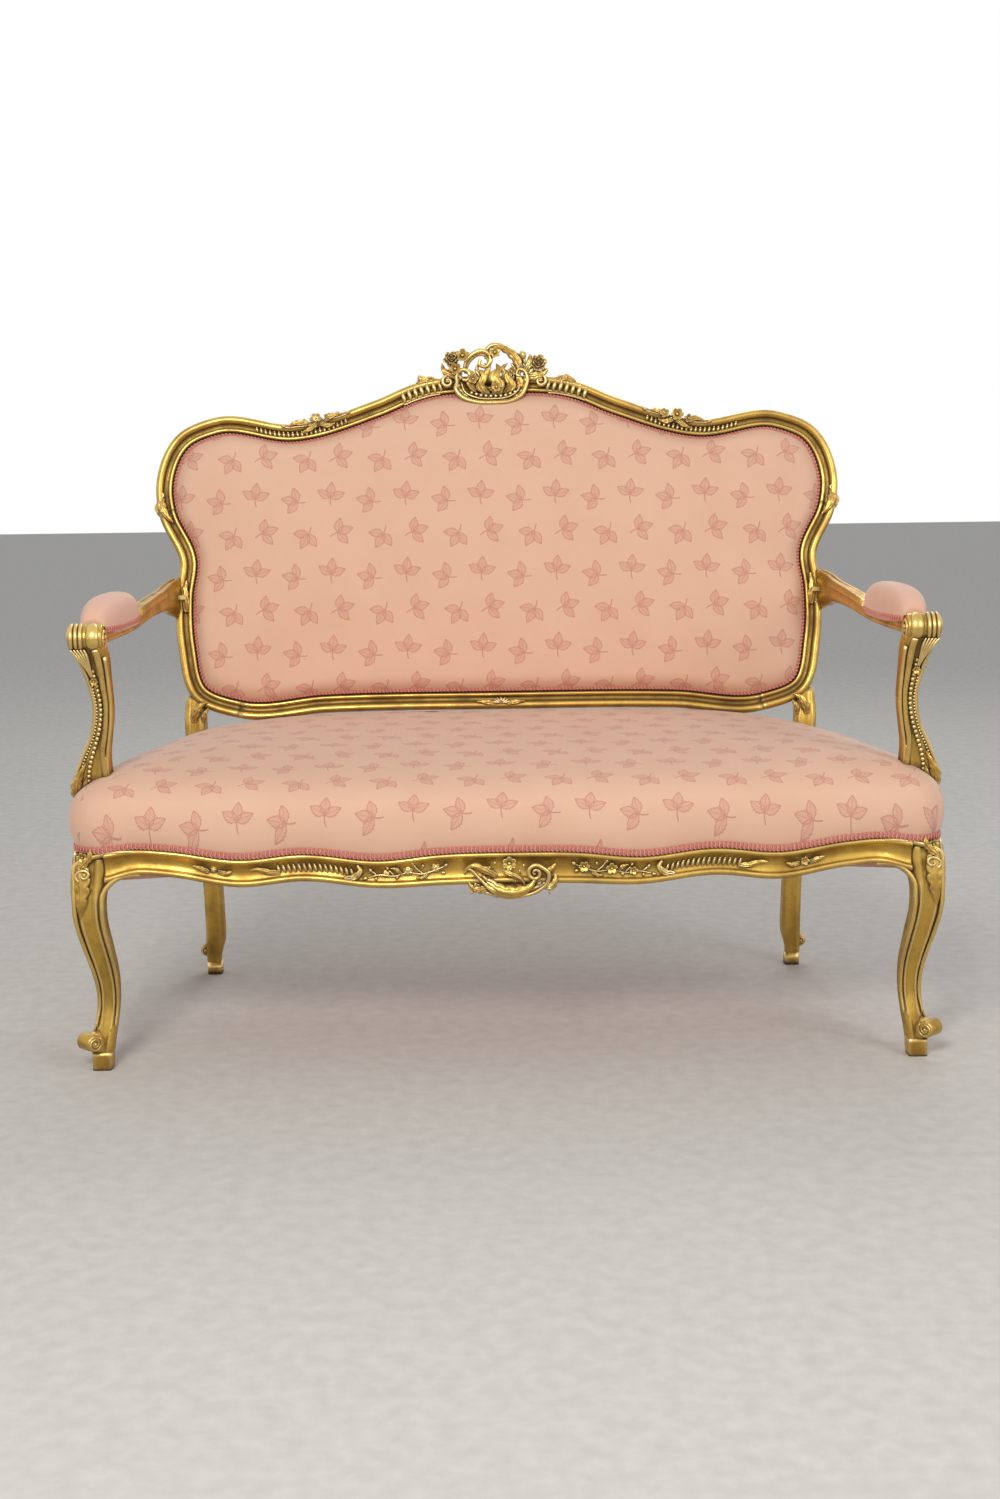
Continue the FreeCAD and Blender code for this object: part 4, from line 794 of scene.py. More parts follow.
def makeRails():
    frontEnd = max(k for k in range(planCount // 2) if planRing[k].x < 0.600 and planRing[k].y + setback < 0.0)
    makeRail("frontSeatRail", list(range(-frontEnd, frontEnd + 1)), "front_seat_rail")
    sideFrom = min(k for k in range(planCount // 2) if planRing[k].y + setback > 0.008)
    makeRail("rightSideSeatRail", list(range(sideFrom, sideEnd + 1)), "right_side_seat_rail")
    makeRail("leftSideSeatRail", [-k for k in range(sideEnd, sideFrom - 1, -1)], "left_side_seat_rail")
    print("seat rails built")


makeRails()

# The front legs
cabriole = {"foot": 0.616, "footHalf": 0.0155, "footTall": 0.028,
            "stages": [(0.020, 0.000, 0.0155), (0.042, -0.0025, 0.0160), (0.070, -0.0070, 0.0160),
                       (0.100, -0.0115, 0.0150), (0.140, -0.0100, 0.0170), (0.186, -0.0015, 0.0200),
                       (0.232, 0.0070, 0.0220), (0.262, 0.0080, 0.0230), (0.292, 0.0055, 0.0255),
                       (0.330, 0.0030, 0.0250)],
            "flush": [(0.248, 0.0), (0.285, 0.0040), (0.330, 0.0062)]}


def columnAt(stages, column, z):
    # one column of a table of stages, read at height z
    return smoothAt([(s[0], s[column]) for s in stages], z)


def legPoint(z, x, y, proud=0.0):
    # a point of the leg's surface: x and y run from -1 to 1 across it
    out, half = columnAt(cabriole["stages"], 1, z), columnAt(cabriole["stages"], 2, z)
    back = smoothAt(cabriole["flush"], z)
    return Vector((cabriole["foot"] + out + x * (half + proud), -setback - out + back + y * (half + proud), z))


def makeFrontLegs():
    # the top of the leg stands back until it is flush with the rail
    stages = [(Vector((cabriole["foot"] + out, -setback - out + smoothAt(cabriole["flush"], z), z)), half, half)
              for z, out, half in cabriole["stages"]]
    shaft = post("shaft", stages, mouldedRing(count=56, power=3.6, flute=0.13), steps=6)
    f, h = cabriole["foot"], cabriole["footHalf"]
    block = post("block", [(Vector((f + 0.001, -setback, 0)), h - 0.001, h - 0.001),
                           (Vector((f, -setback, 0.010)), h - 0.0004, h - 0.0004),
                           (Vector((f, -setback, cabriole["footTall"])), h, h)],
                 mouldedRing(count=40, power=7, flute=0.0), steps=3)
    diagonal = Vector((1, -1, 0)).normalized()
    across = Vector((1, 1, 0)).normalized()
    middle = Vector((f, -setback, 0.046)) + diagonal * (h + 0.009)
    scroll = scrollDrum(middle, 0.0128, 0.030, across, "scroll")
    tongue = []
    for k in range(9):
        share = k / 8
        tongue.append(middle - diagonal * (0.006 + 0.016 * share) + Vector((0, 0, 0.012 - 0.030 * share)))
    web = tube("web", tongue, [0.010, 0.0125, 0.0115], sides=16, up=across)
    parts = [shaft, block, scroll, web]
    # two thin rolls run down the front face, as the edge of its channel
    for x, y in ((-0.52, -0.93), (0.52, -0.93), (0.98, -0.80), (0.98, 0.80)):
        line = smoothLine([legPoint(z, x, y) for z in (0.060, 0.090, 0.120, 0.160, 0.200, 0.240, 0.265, 0.285)],
                          steps=5)
        parts.append(tube("roll", line, [0.0014, 0.0026, 0.0028, 0.0026, 0.0008], sides=8, up=diagonal))
    # the beads of the rail turn the corner of the knee and run down its two edges
    outer = [Vector((0.545, 0, 0.3385)), Vector((0.580, 0, 0.3375)), Vector((0.606, 0, 0.3330))]
    inner = [Vector((0.545, 0, 0.3040)), Vector((0.572, 0, 0.3015)), Vector((0.588, 0, 0.2930))]
    for run, x, heights in ((outer, 0.86, (0.318, 0.290, 0.262, 0.232, 0.186, 0.140, 0.100, 0.068)),
                            (inner, -0.90, (0.276, 0.250, 0.220, 0.186, 0.140, 0.100, 0.068))):
        line = []
        for p in run:
            near = min(range(planCount // 2), key=lambda k: (
                abs(planRing[k].x - p.x) + (1 if planRing[k].y + setback > 0.02 else 0)))
            line.append(Vector((p.x, planRing[near].y, p.z)) + planNormal(near) * 0.0010)
        line[-1] = line[-1].lerp(Vector((line[-1].x, legPoint(line[-1].z, x, -1.0).y, line[-1].z)), 0.7)
        line += [legPoint(z, x, -1.0, 0.0002) for z in heights]
        parts.append(tube("moulding", smoothLine(line, steps=7),
                          [0.0030, 0.0042, 0.0042, 0.0036, 0.0030, 0.0026, 0.0018], sides=10, up=diagonal))
    bothSides(parts, "FrontLeg", gilt, "giltwood", "front_leg")
    print("front legs built")


makeFrontLegs()

# The arms and their supports
armShape = {"scrollY": 0.036, "front": 0.621, "z": 0.646, "end": 0.561, "wide": 0.019, "tall": 0.014, "bed": 0.657,
            "padFront": 0.078, "padBack": 0.286}
# height, middle across, half across, middle in depth and half in depth
supportShape = [(0.336, 0.620, 0.027, 0.072, 0.022), (0.402, 0.621, 0.0315, 0.070, 0.023),
                (0.432, 0.6235, 0.029, 0.067, 0.022), (0.470, 0.617, 0.021, 0.062, 0.019),
                (0.501, 0.6075, 0.0155, 0.058, 0.017), (0.531, 0.602, 0.014, 0.055, 0.017),
                (0.555, 0.6015, 0.014, 0.053, 0.017), (0.572, 0.6035, 0.0155, 0.051, 0.018),
                (0.597, 0.6075, 0.0185, 0.048, 0.019), (0.622, 0.613, 0.023, 0.044, 0.021),
                (0.637, 0.6185, 0.026, 0.040, 0.022)]


def supportAt(z, x, y=-1.0):
    # a point of the support's surface at height z
    across, half, line, deep = (columnAt(supportShape, column, z) for column in (1, 2, 3, 4))
    return Vector((across, line - setback, z)) + Vector((x * half, y * deep, 0))


def bead(radius, segments=10, rings=6):
    pickNothing()
    bpy.ops.mesh.primitive_uv_sphere_add(segments=segments, ring_count=rings, radius=radius)
    bpy.ops.object.shade_smooth()
    return bpy.context.object


def beadsOn(line, radius, gap):
    spots = evenly(line, max(2, int(lineLength(line) / gap)))
    return scattered("beads", bead(radius), [Matrix.Translation(p) for p in spots])


def makeArms():
    a, w, t = armShape, armShape["wide"], armShape["tall"]
    stages = [(0.034, a["front"] - 0.001, a["z"] + 0.003, w + 0.002, t), (0.076, a["front"], a["z"], w + 0.001, t),
              (0.150, a["front"] - 0.006, a["z"] - 0.001, w, t), (0.266, a["front"] - 0.021, a["z"] + 0.003, w, t),
              (0.360, 0.586, a["z"] + 0.014, w - 0.002, t + 0.001),
              (0.450, a["end"] + 0.010, a["z"] + 0.021, w - 0.005, t + 0.005),
              (0.520, a["end"] + 0.002, a["z"] + 0.020, w - 0.008, t + 0.017),
              (0.548, a["end"] - 0.003, a["z"] + 0.018, w - 0.010, t + 0.022)]
    middles = smoothLine([Vector((x, y - setback, z)) for y, x, z, hx, hz in stages], steps=8)
    halves = smoothLine([Vector((hx, hz, k * 0.03)) for k, (y, x, z, hx, hz) in enumerate(stages)], steps=8)
    ring = mouldedRing(count=48, power=2.8, flute=0.16, faces=(0, 1, 2))
    loop = ring + [ring[0]]
    padTop = a["bed"] - 0.0005

    def place(i, j):
        x, z = loop[j]
        spot = middles[i] + Vector((x * halves[i].x, 0, z * halves[i].y))
        y = middles[i].y + setback
        if a["padFront"] - 0.004 < y < a["padBack"] + 0.004:
            spot.z = min(spot.z, padTop)
        return spot

    arm = shapedGrid("arm", len(middles) - 1, len(loop) - 1, place, capped=True)
    drum = {"x": a["front"] - 0.001, "y": a["scrollY"] - setback, "z": a["z"] + 0.003, "radius": 0.0205}
    sideways = Vector((1, 0, 0))
    hand = scrollDrum(Vector((drum["x"], drum["y"], drum["z"])), drum["radius"], 0.050, sideways, "hand")
    # four carved lobes lap over the hand-hold, the last one broad
    lobes = []
    for shift, size in ((0.0200, 0.78), (0.0132, 0.82), (0.0062, 0.82), (-0.0110, 2.15)):
        x = drum["x"] + shift
        line = [Vector((x, drum["y"] - drum["radius"] * math.cos(math.radians(g)),
                        drum["z"] + drum["radius"] * math.sin(math.radians(g)))) for g in range(-60, 91, 15)]
        lobes.append(tube("lobe", line, [0.0024, 0.0044, 0.0046, 0.0040, 0.0020], sides=14, flat=size, up=sideways))
    bothSides([arm, hand] + lobes, "Armrest", gilt, "giltwood", "armrest")
    # supports
    shaft = post("support", [(Vector((x, y - setback, z)), hx, hy) for z, x, hx, y, hy in supportShape],
                 mouldedRing(count=56, power=3.4, flute=0.14), steps=6)
    parts = [shaft]
    for x in (-0.86, 0.86):
        line = smoothLine([supportAt(z, x, -0.96)
                           for z in (0.400, 0.432, 0.470, 0.501, 0.531, 0.555, 0.572, 0.597, 0.622)], steps=4)
        parts.append(tube("edge", line, [0.0022, 0.0030, 0.0034, 0.0030], sides=8, up=Vector((0, -1, 0))))
    line = smoothLine([supportAt(z, 0.22, -0.90) for z in (0.425, 0.452, 0.480, 0.510, 0.540, 0.570, 0.600)], steps=4)
    parts.append(beadsOn(line, 0.0038, 0.0072))
    line = smoothLine([supportAt(z, 0.96, -0.30) for z in (0.440, 0.470, 0.510, 0.540, 0.570, 0.600)], steps=4)
    parts.append(beadsOn(line, 0.0032, 0.0066))
    bothSides(parts, "ArmSupport", gilt, "giltwood", "arm_support")
    print("arms built")


makeArms()

# The upholstery
seatShape = {"crown": 0.467, "base": 0.3335, "rear": 0.490, "front": -0.050, "halfWide": 0.641}


def makeSeat():
    rear, front = seatShape["rear"] - setback, seatShape["front"] - setback
    # how far round the form: out from the plan, drawn in towards the rear, and the height
    stages = [(-0.0030, 0.000, 0.000), (0.0040, 0.000, 0.014), (0.0085, 0.000, 0.032), (0.0090, 0.000, 0.050),
              (0.0070, 0.001, 0.068), (0.0020, 0.004, 0.084), (0.0, 0.022, 0.099), (0.0, 0.056, 0.1105),
              (0.0, 0.110, 0.119), (0.0, 0.180, 0.1265), (0.0, 0.270, 0.1308), (0.0, 0.400, 0.1330),
              (0.0, 0.520, 0.1335)]
    run = smoothLine([Vector(s) for s in stages], steps=3)

    def place(i, j):
        k = i % planCount
        spot = planRing[k] + planNormal(k) * run[j].x
        inset = run[j].y
        spot.x *= 1 - min(inset, 0.62) / seatShape["halfWide"]
        spot.y = rear + (spot.y - rear) * (1 - inset / (rear - front))
        foot = smoothAt(crestMarks, abs(planRing[k].x)) if planRing[k].y + setback < 0.45 else 0.336
        foot += 0.0005
        share = min(1.0, run[j].z / 0.060)
        spot.z = (foot + run[j].z) * (1 - share) + (seatShape["base"] + run[j].z) * share
        return spot

    return shapedGrid("seatUpholstery", planCount, len(run) - 1, place, capped=True)


def seatMap(point, normal):
    # top straight down, sides unrolled
    drop = max(0.0, seatShape["crown"] - point.z)
    u, v = point.x, point.y
    if abs(normal.x) > abs(normal.y):
        u += math.copysign(drop * 0.75, point.x)
    elif normal.y < 0:
        v -= drop * 0.75
    else:
        v += drop
    return (u + 0.012, v)


# the stuffing is never quite even: how far it swells, and the size of its lumps
stuffing = {"swell": 0.0022, "seatLumps": 7.0, "backLumps": 6.0, "seatFrom": 0.36, "seatOver": 0.04, "backOver": 0.02}


def makeUpholstery():
    seat = makeSeat()
    for vertex in seat.data.vertices:
        free = max(0.0, min(1.0, (vertex.co.z - stuffing["seatFrom"]) / stuffing["seatOver"]))
        vertex.co += vertex.normal * free * stuffing["swell"] * noise.noise(vertex.co * stuffing["seatLumps"])
    clothMap(seat, seatMap)
    dressed(seat, damask, "leaf_damask", "seat_cover", "seat_stuffing")
    print("seat upholstered")
    # the back
    count, rings = len(backRing), 26

    def place(i, j):
        spot = backRing[i % count]
        share = j / rings
        roll = min(1.0, share / 0.16)
        start = spot + backInward(i % count) * (backLine["face"] / 2 + 0.0008)
        flat = start.lerp(towardsMiddle(spot, backMiddle - 0.02), min(1.0, share ** 1.25))
        height = 0.021 * math.sin(roll * math.pi / 2) + 0.017 * math.sin(min(1.0, share) * math.pi / 2) - 0.011
        return Vector((flat.x, flat.y, height))

    back = shapedGrid("backUpholstery", count, rings, place, capped=True)
    toBack(back)
    for vertex in back.data.vertices:
        free = max(0.0, min(1.0, (fromBack @ vertex.co).z / stuffing["backOver"]))
        vertex.co += offSlope * free * stuffing["swell"] * noise.noise(vertex.co * stuffing["backLumps"])
    clothMap(back, lambda c, n: ((fromBack @ c).x + 0.031, (fromBack @ c).y + 0.012))
    dressed(back, damask, "leaf_damask", "inside_back_cover", "back_stuffing")
    print("back upholstered")
    # arm pads
    a = armShape
    half, rise, long = 0.029, 0.046, a["padBack"] - a["padFront"] - 0.006
    along, across = 72, 32

    def padPlace(i, j):
        share, turn = i / along, math.pi * j / across
        swell = (1 - abs(2 * share - 1) ** 3.2) ** 0.45
        x = a["front"] - 0.002 - 0.019 * share
        y = a["padFront"] + 0.003 + long * share - setback
        wide = half * (0.30 + 0.70 * swell)
        tall = rise * (0.12 + 0.88 * swell)
        c, s = math.cos(turn), math.sin(turn)
        out = math.copysign(abs(c) ** 0.75, c)
        bulge = 1 + 0.06 * math.sin(2 * turn if turn < math.pi / 2 else 2 * (math.pi - turn))
        z = a["bed"] + 0.0004 + tall * max(s, 0.0) ** 0.8 - 0.009 * (1 - max(s, 0.0)) ** 3 * swell
        return Vector((x + wide * out * bulge, y, z))

    pad = shapedGrid("rightArmPad", along, across, padPlace, capped=True)
    clothMap(pad, lambda c, n: (c.y + 0.02, c.x + (c.z - 0.70) * (1 if c.x > a["front"] - 0.012 else -1)))
    leftPad = twin(pad, mirrorX, "leftArmPad")
    for side, piece in (("right", pad), ("left", leftPad)):
        dressed(piece, padCloth, "pad_cloth", side + "_arm_pad_cover", side + "_arm_pad_stuffing")
    print("arm pads upholstered")


makeUpholstery()


# The braid
def braidUnit(wide, long, thick):
    # one loop of the braid: a plaited leaf across the band
    line = []
    for k in range(13):
        share = k / 12
        line.append(Vector((long * 0.9 * (share - 0.5) + long * 0.25 * math.sin(share * 2 * math.pi),
                            wide * 0.46 * math.cos(share * math.pi), thick * 0.35 * math.sin(share * math.pi))))
    return tube("loop", line, [thick * 0.34, thick * 0.52, thick * 0.55, thick * 0.52, thick * 0.34], sides=6)


def braid(name, line, outward, wide, thick, closed):
    # loops of twisted cord laid side by side along a line
    pitch = 0.0062
    spots = evenly(line, int(lineLength(line + [line[0]] if closed else line) / pitch), closed)
    unit = braidUnit(wide, pitch, thick)
    places = []
    total = len(spots)
    for i, here in enumerate(spots):
        ahead = spots[(i + 1) % total] if closed else spots[min(i + 1, total - 1)]
        behind = spots[i - 1] if closed else spots[max(i - 1, 0)]
        way = (ahead - behind).normalized()
        out = outward(here)
        rise = out.cross(way).normalized()
        grid = Matrix((way, rise, way.cross(rise))).transposed().to_4x4()
        places.append(Matrix.Translation(here) @ grid)
    loops = scattered(name, unit, places)
    section = [(-wide / 2, -thick * 0.5), (-wide * 0.42, thick * 0.05), (wide * 0.42, thick * 0.05),
               (wide / 2, -thick * 0.5)]
    band = sweep("band", spots, section, lambda i: outward(spots[i]), closed=closed)
    return join(name, [loops, band])


def makeBraids():
    # round the seat, from one back leg round the front to the other
    line = []
    for k in range(-sideEnd, sideEnd + 1):
        spot = planRing[k % planCount]
        z = smoothAt(crestMarks, abs(spot.x)) + 0.0052
        line.append(spot + planNormal(k % planCount) * 0.0025 + Vector((0, 0, z)))

    def away(p):
        near = min(range(planCount), key=lambda k: (planRing[k].x - p.x) ** 2 + (planRing[k].y - p.y) ** 2)
        return planNormal(near)

    piece = braid("seatBraid", line, away, 0.0095, 0.0030, False)
    dressed(piece, roseBraid, "rose_gimp", "seat_gimp")
    # round the back
    line = [backGrid @ (spot + backInward(i) * (backLine["face"] / 2 + 0.0046) + Vector((0, 0, -0.0035)))
            for i, spot in enumerate(backRing)]
    piece = braid("backBraid", line, lambda p: offSlope, 0.0090, 0.0030, True)
    dressed(piece, roseBraid, "rose_gimp", "back_gimp")
    # round the arm pads
    a = armShape
    line = []
    for k in range(72):
        turn = 2 * math.pi * k / 72
        c, s = math.cos(turn), math.sin(turn)
        share = 0.5 + 0.5 * math.copysign(abs(s) ** 0.55, s)
        x = a["front"] - 0.002 - 0.019 * share + 0.0282 * math.copysign(abs(c) ** 0.55, c)
        y = a["padFront"] + 0.002 + (a["padBack"] - a["padFront"] - 0.004) * share - setback
        line.append(Vector((x, y, a["bed"] - 0.0008)))
    centre = Vector((a["front"] - 0.0115, (a["padFront"] + a["padBack"]) / 2 - setback, a["bed"]))
    piece = braid("rightPadBraid", line, lambda p: Vector(((p - centre).x * 9, (p - centre).y, 0)).normalized(),
                  0.0080, 0.0026, True)
    bothSides([piece], "PadBraid", roseBraid, "rose_gimp", "arm_pad_gimp")
    print("braid laid")


makeBraids()

# The carving
def joinInto(title, extras):
    for extra in extras:
        extra.data.materials.clear()
        extra.data.materials.append(carvedGilt)
    return join(title, [bpy.data.objects[title]] + extras)


def onDrawing(x, z, out=0.0):
    # a spot on the face of the back, from millimetres
    return onBack(x / 1000, slope(z / 1000), out / 1000)


front = Vector((0, -1, 0))
frontRun = [planRing[k % planCount] for k in range(-planCount // 2 + 8, planCount // 2 - 8)]
frontRun = [p for p in frontRun if p.y + setback < 0.02]


def onRail(x, z, out=0.0):
    # a spot on the face of the front rail, from millimetres
    x = x / 1000
    near = min(range(1, len(frontRun) - 1), key=lambda k: abs(frontRun[k].x - x))
    a, b = frontRun[near - 1], frontRun[near + 1]
    share = (x - a.x) / (b.x - a.x)
    way = (b - a).normalized()
    return a.lerp(b, share) + Vector((way.y, -way.x, 0)) * (out / 1000) + Vector((0, 0, z / 1000))


def vine(on, points, radius, sides=8, flat=1.0, steps=6, away=front):
    # a carved stem through (x, z, out) points of a face
    line = smoothLine([on(*p) for p in points], steps=steps)
    return tube("vine", line, [r / 1000 for r in radius], sides=sides, flat=flat, up=away)


def curlPoints(cx, cz, start, reach, turns, out=0.0, last=0.25, count=16):
    # a spiral that closes on its eye
    found = []
    for k in range(count + 1):
        share = k / count
        turn = math.radians(start + 360 * turns * share)
        r = reach * (1 - (1 - last) * share)
        found.append((cx + r * math.cos(turn), cz + r * math.sin(turn), out + 1.5 * share))
    return found


def leaf(on, spine, wide, lobes=4, rise=3.0, thick=0.0016, curl=2.0):
    # an acanthus leaf: a lobed blade round a curved rib, hollowed between its veins
    along, across = 8 * lobes, 12
    line = smoothLine([Vector(p) for p in spine], steps=6)
    line = evenly(line, along)

    def place(i, j):
        share = i / along
        here = line[i]
        way = (line[min(i + 1, along)] - line[max(i - 1, 0)]).normalized()
        side = Vector((-way.y, way.x, 0))
        tooth = 0.72 + 0.28 * abs(math.sin(math.pi * lobes * share))
        half = wide * math.sin(math.pi * min(1.0, 0.10 + 0.90 * share) ** 0.85) ** 0.7 * tooth
        t = 2 * j / across - 1
        lift = rise * (1 - t * t) * math.sin(math.pi * (0.12 + 0.80 * share))
        lift += 0.9 * math.cos(3 * math.pi * t) * (1 - share)
        lift += 0.8 * math.cos(2 * math.pi * lobes * share) * abs(t)
        spot = here + side * (half * t) - way * (abs(t) * half * 0.30)
        return on(spot.x, spot.y, spot.z + lift + curl * share * share)

    blade = shapedGrid("leaf", along, across, place, merged=False)
    return applied(blade, "SOLIDIFY", thickness=thick, offset=-1.0)


def frameAt(on, x, z, out, turn=0.0):
    # the directions of a face at a spot, for a small carving
    here = on(x, z, out)
    rightWay = (on(x + 1, z, out) - on(x - 1, z, out)).normalized()
    riseWay = (on(x, z + 1, out) - on(x, z - 1, out)).normalized()
    outWay = rightWay.cross(riseWay)
    c, s = math.cos(math.radians(turn)), math.sin(math.radians(turn))
    first = rightWay * c + riseWay * s
    grid = Matrix((first, outWay.cross(first), outWay)).transposed().to_4x4()
    return Matrix.Translation(here) @ grid


def petalFlower(on, x, z, out, size, petals=6, cup=0.35, turn=0.0):
    # cupped petals round a beaded eye
    def place(i, j):
        share, t = i / 7, 2 * j / 6 - 1
        reach = size * (0.14 + 0.86 * share)
        half = size * 0.46 * math.sin(math.pi * (0.16 + 0.78 * share)) ** 0.8
        lift = size * (cup * share * share + 0.16 * (1 - t * t) * math.sin(math.pi * share) + 0.10 * t * t)
        return Vector((reach - abs(t) * size * 0.10 * share, half * t, lift)) / 1000

    petal = shapedGrid("petal", 7, 6, place, merged=False)
    applied(petal, "SOLIDIFY", thickness=size * 0.00012, offset=-1.0)
    spots = [Matrix.Rotation(2 * math.pi * k / petals, 4, "Z") for k in range(petals)]
    crown = scattered("petals", petal, spots)
    eye = scattered("eye", bead(size * 0.00024),
                    [Matrix.Translation((0, 0, size * 0.00016)) @ Matrix.Diagonal((1, 1, 0.8, 1))])
    return moved(join("flower", [crown, eye]), frameAt(on, x, z, out, turn))


def rose(on, x, z, out, size):
    # three rings of petals, one in the other
    return join("rose", [petalFlower(on, x, z, out, size, 6, 0.30, 10),
                         petalFlower(on, x, z, out + size * 0.20, size * 0.72, 5, 0.6, 40),
                         petalFlower(on, x, z, out + size * 0.42, size * 0.42, 4, 0.9, 0)])


def bud(on, x, z, out, size, turn=90):
    # a closed bud in its calyx
    unit = bead(size / 1000, segments=12, rings=8)
    for v in unit.data.vertices:
        v.co.x *= 1.35
        v.co *= 1 - 0.12 * abs(math.sin(3 * math.atan2(v.co.y, v.co.z)))
    return moved(unit, frameAt(on, x, z, out, turn))


def beadRow(on, points, radius, gap):
    line = smoothLine([on(*p) for p in points], steps=8)
    spots = evenly(line, max(2, round(lineLength(line) * 1000 / gap)))
    return scattered("beads", bead(radius / 1000, segments=8, rings=5), [Matrix.Translation(p) for p in spots])


def flutes(on, points, tall, wide, gap, out=1.0, lean=14, taper=0.75):
    # gadroons: swelling tongues side by side, with a bead at the head of each
    line = smoothLine([Vector(p) for p in points], steps=10)
    count = max(2, round(lineLength(line) / gap))
    spots = evenly(line, count)
    parts = []
    for k, p in enumerate(spots):
        share = k / count
        high = tall * (taper + (1 - taper) * math.sin(math.pi * (0.25 + 0.5 * share)))

        def place(i, j):
            u, a = i / 6, math.pi * j / 6
            w = wide * math.sin(math.pi * (0.10 + 0.72 * u)) ** 0.7
            dx = -math.cos(a) * w + math.tan(math.radians(lean)) * high * (u - 0.5)
            return on(p.x + dx, p.y + high * (u - 0.5), out + p.z + math.sin(a) * w * 1.1 - 0.5)

        parts.append(shapedGrid("flute", 6, 6, place, merged=False))
        tip = frameAt(on, p.x + math.tan(math.radians(lean)) * high * 0.5, p.y + high * 0.56, out + p.z + 0.6)
        parts.append(scattered("pearl", bead(wide * 0.62 / 1000, segments=8, rings=5), [tip]))
    return join("flutes", parts)


def carved(on, rows, away=front):
    # makes what a table of carving lists: the kind, then what that kind takes
    return [kind(on, *given, away=away) if kind is vine else kind(on, *given) for kind, *given in rows]


def flipped(on, sign):
    # the same face, mirrored where the sign is negative
    return lambda x, z, out=0.0: on(sign * x, z, out)


crestRun = backRing[jointAt:lastAt + 1]


def crestZ(x):
    # the height of the crest's middle line over x, in millimetres
    near = min(crestRun, key=lambda p: abs(p.x - x / 1000))
    return (near.y * math.cos(rake) + hingeHeight) * 1000


def overCrest(x, z, *rest):
    return (x, crestZ(x) + z, *rest)


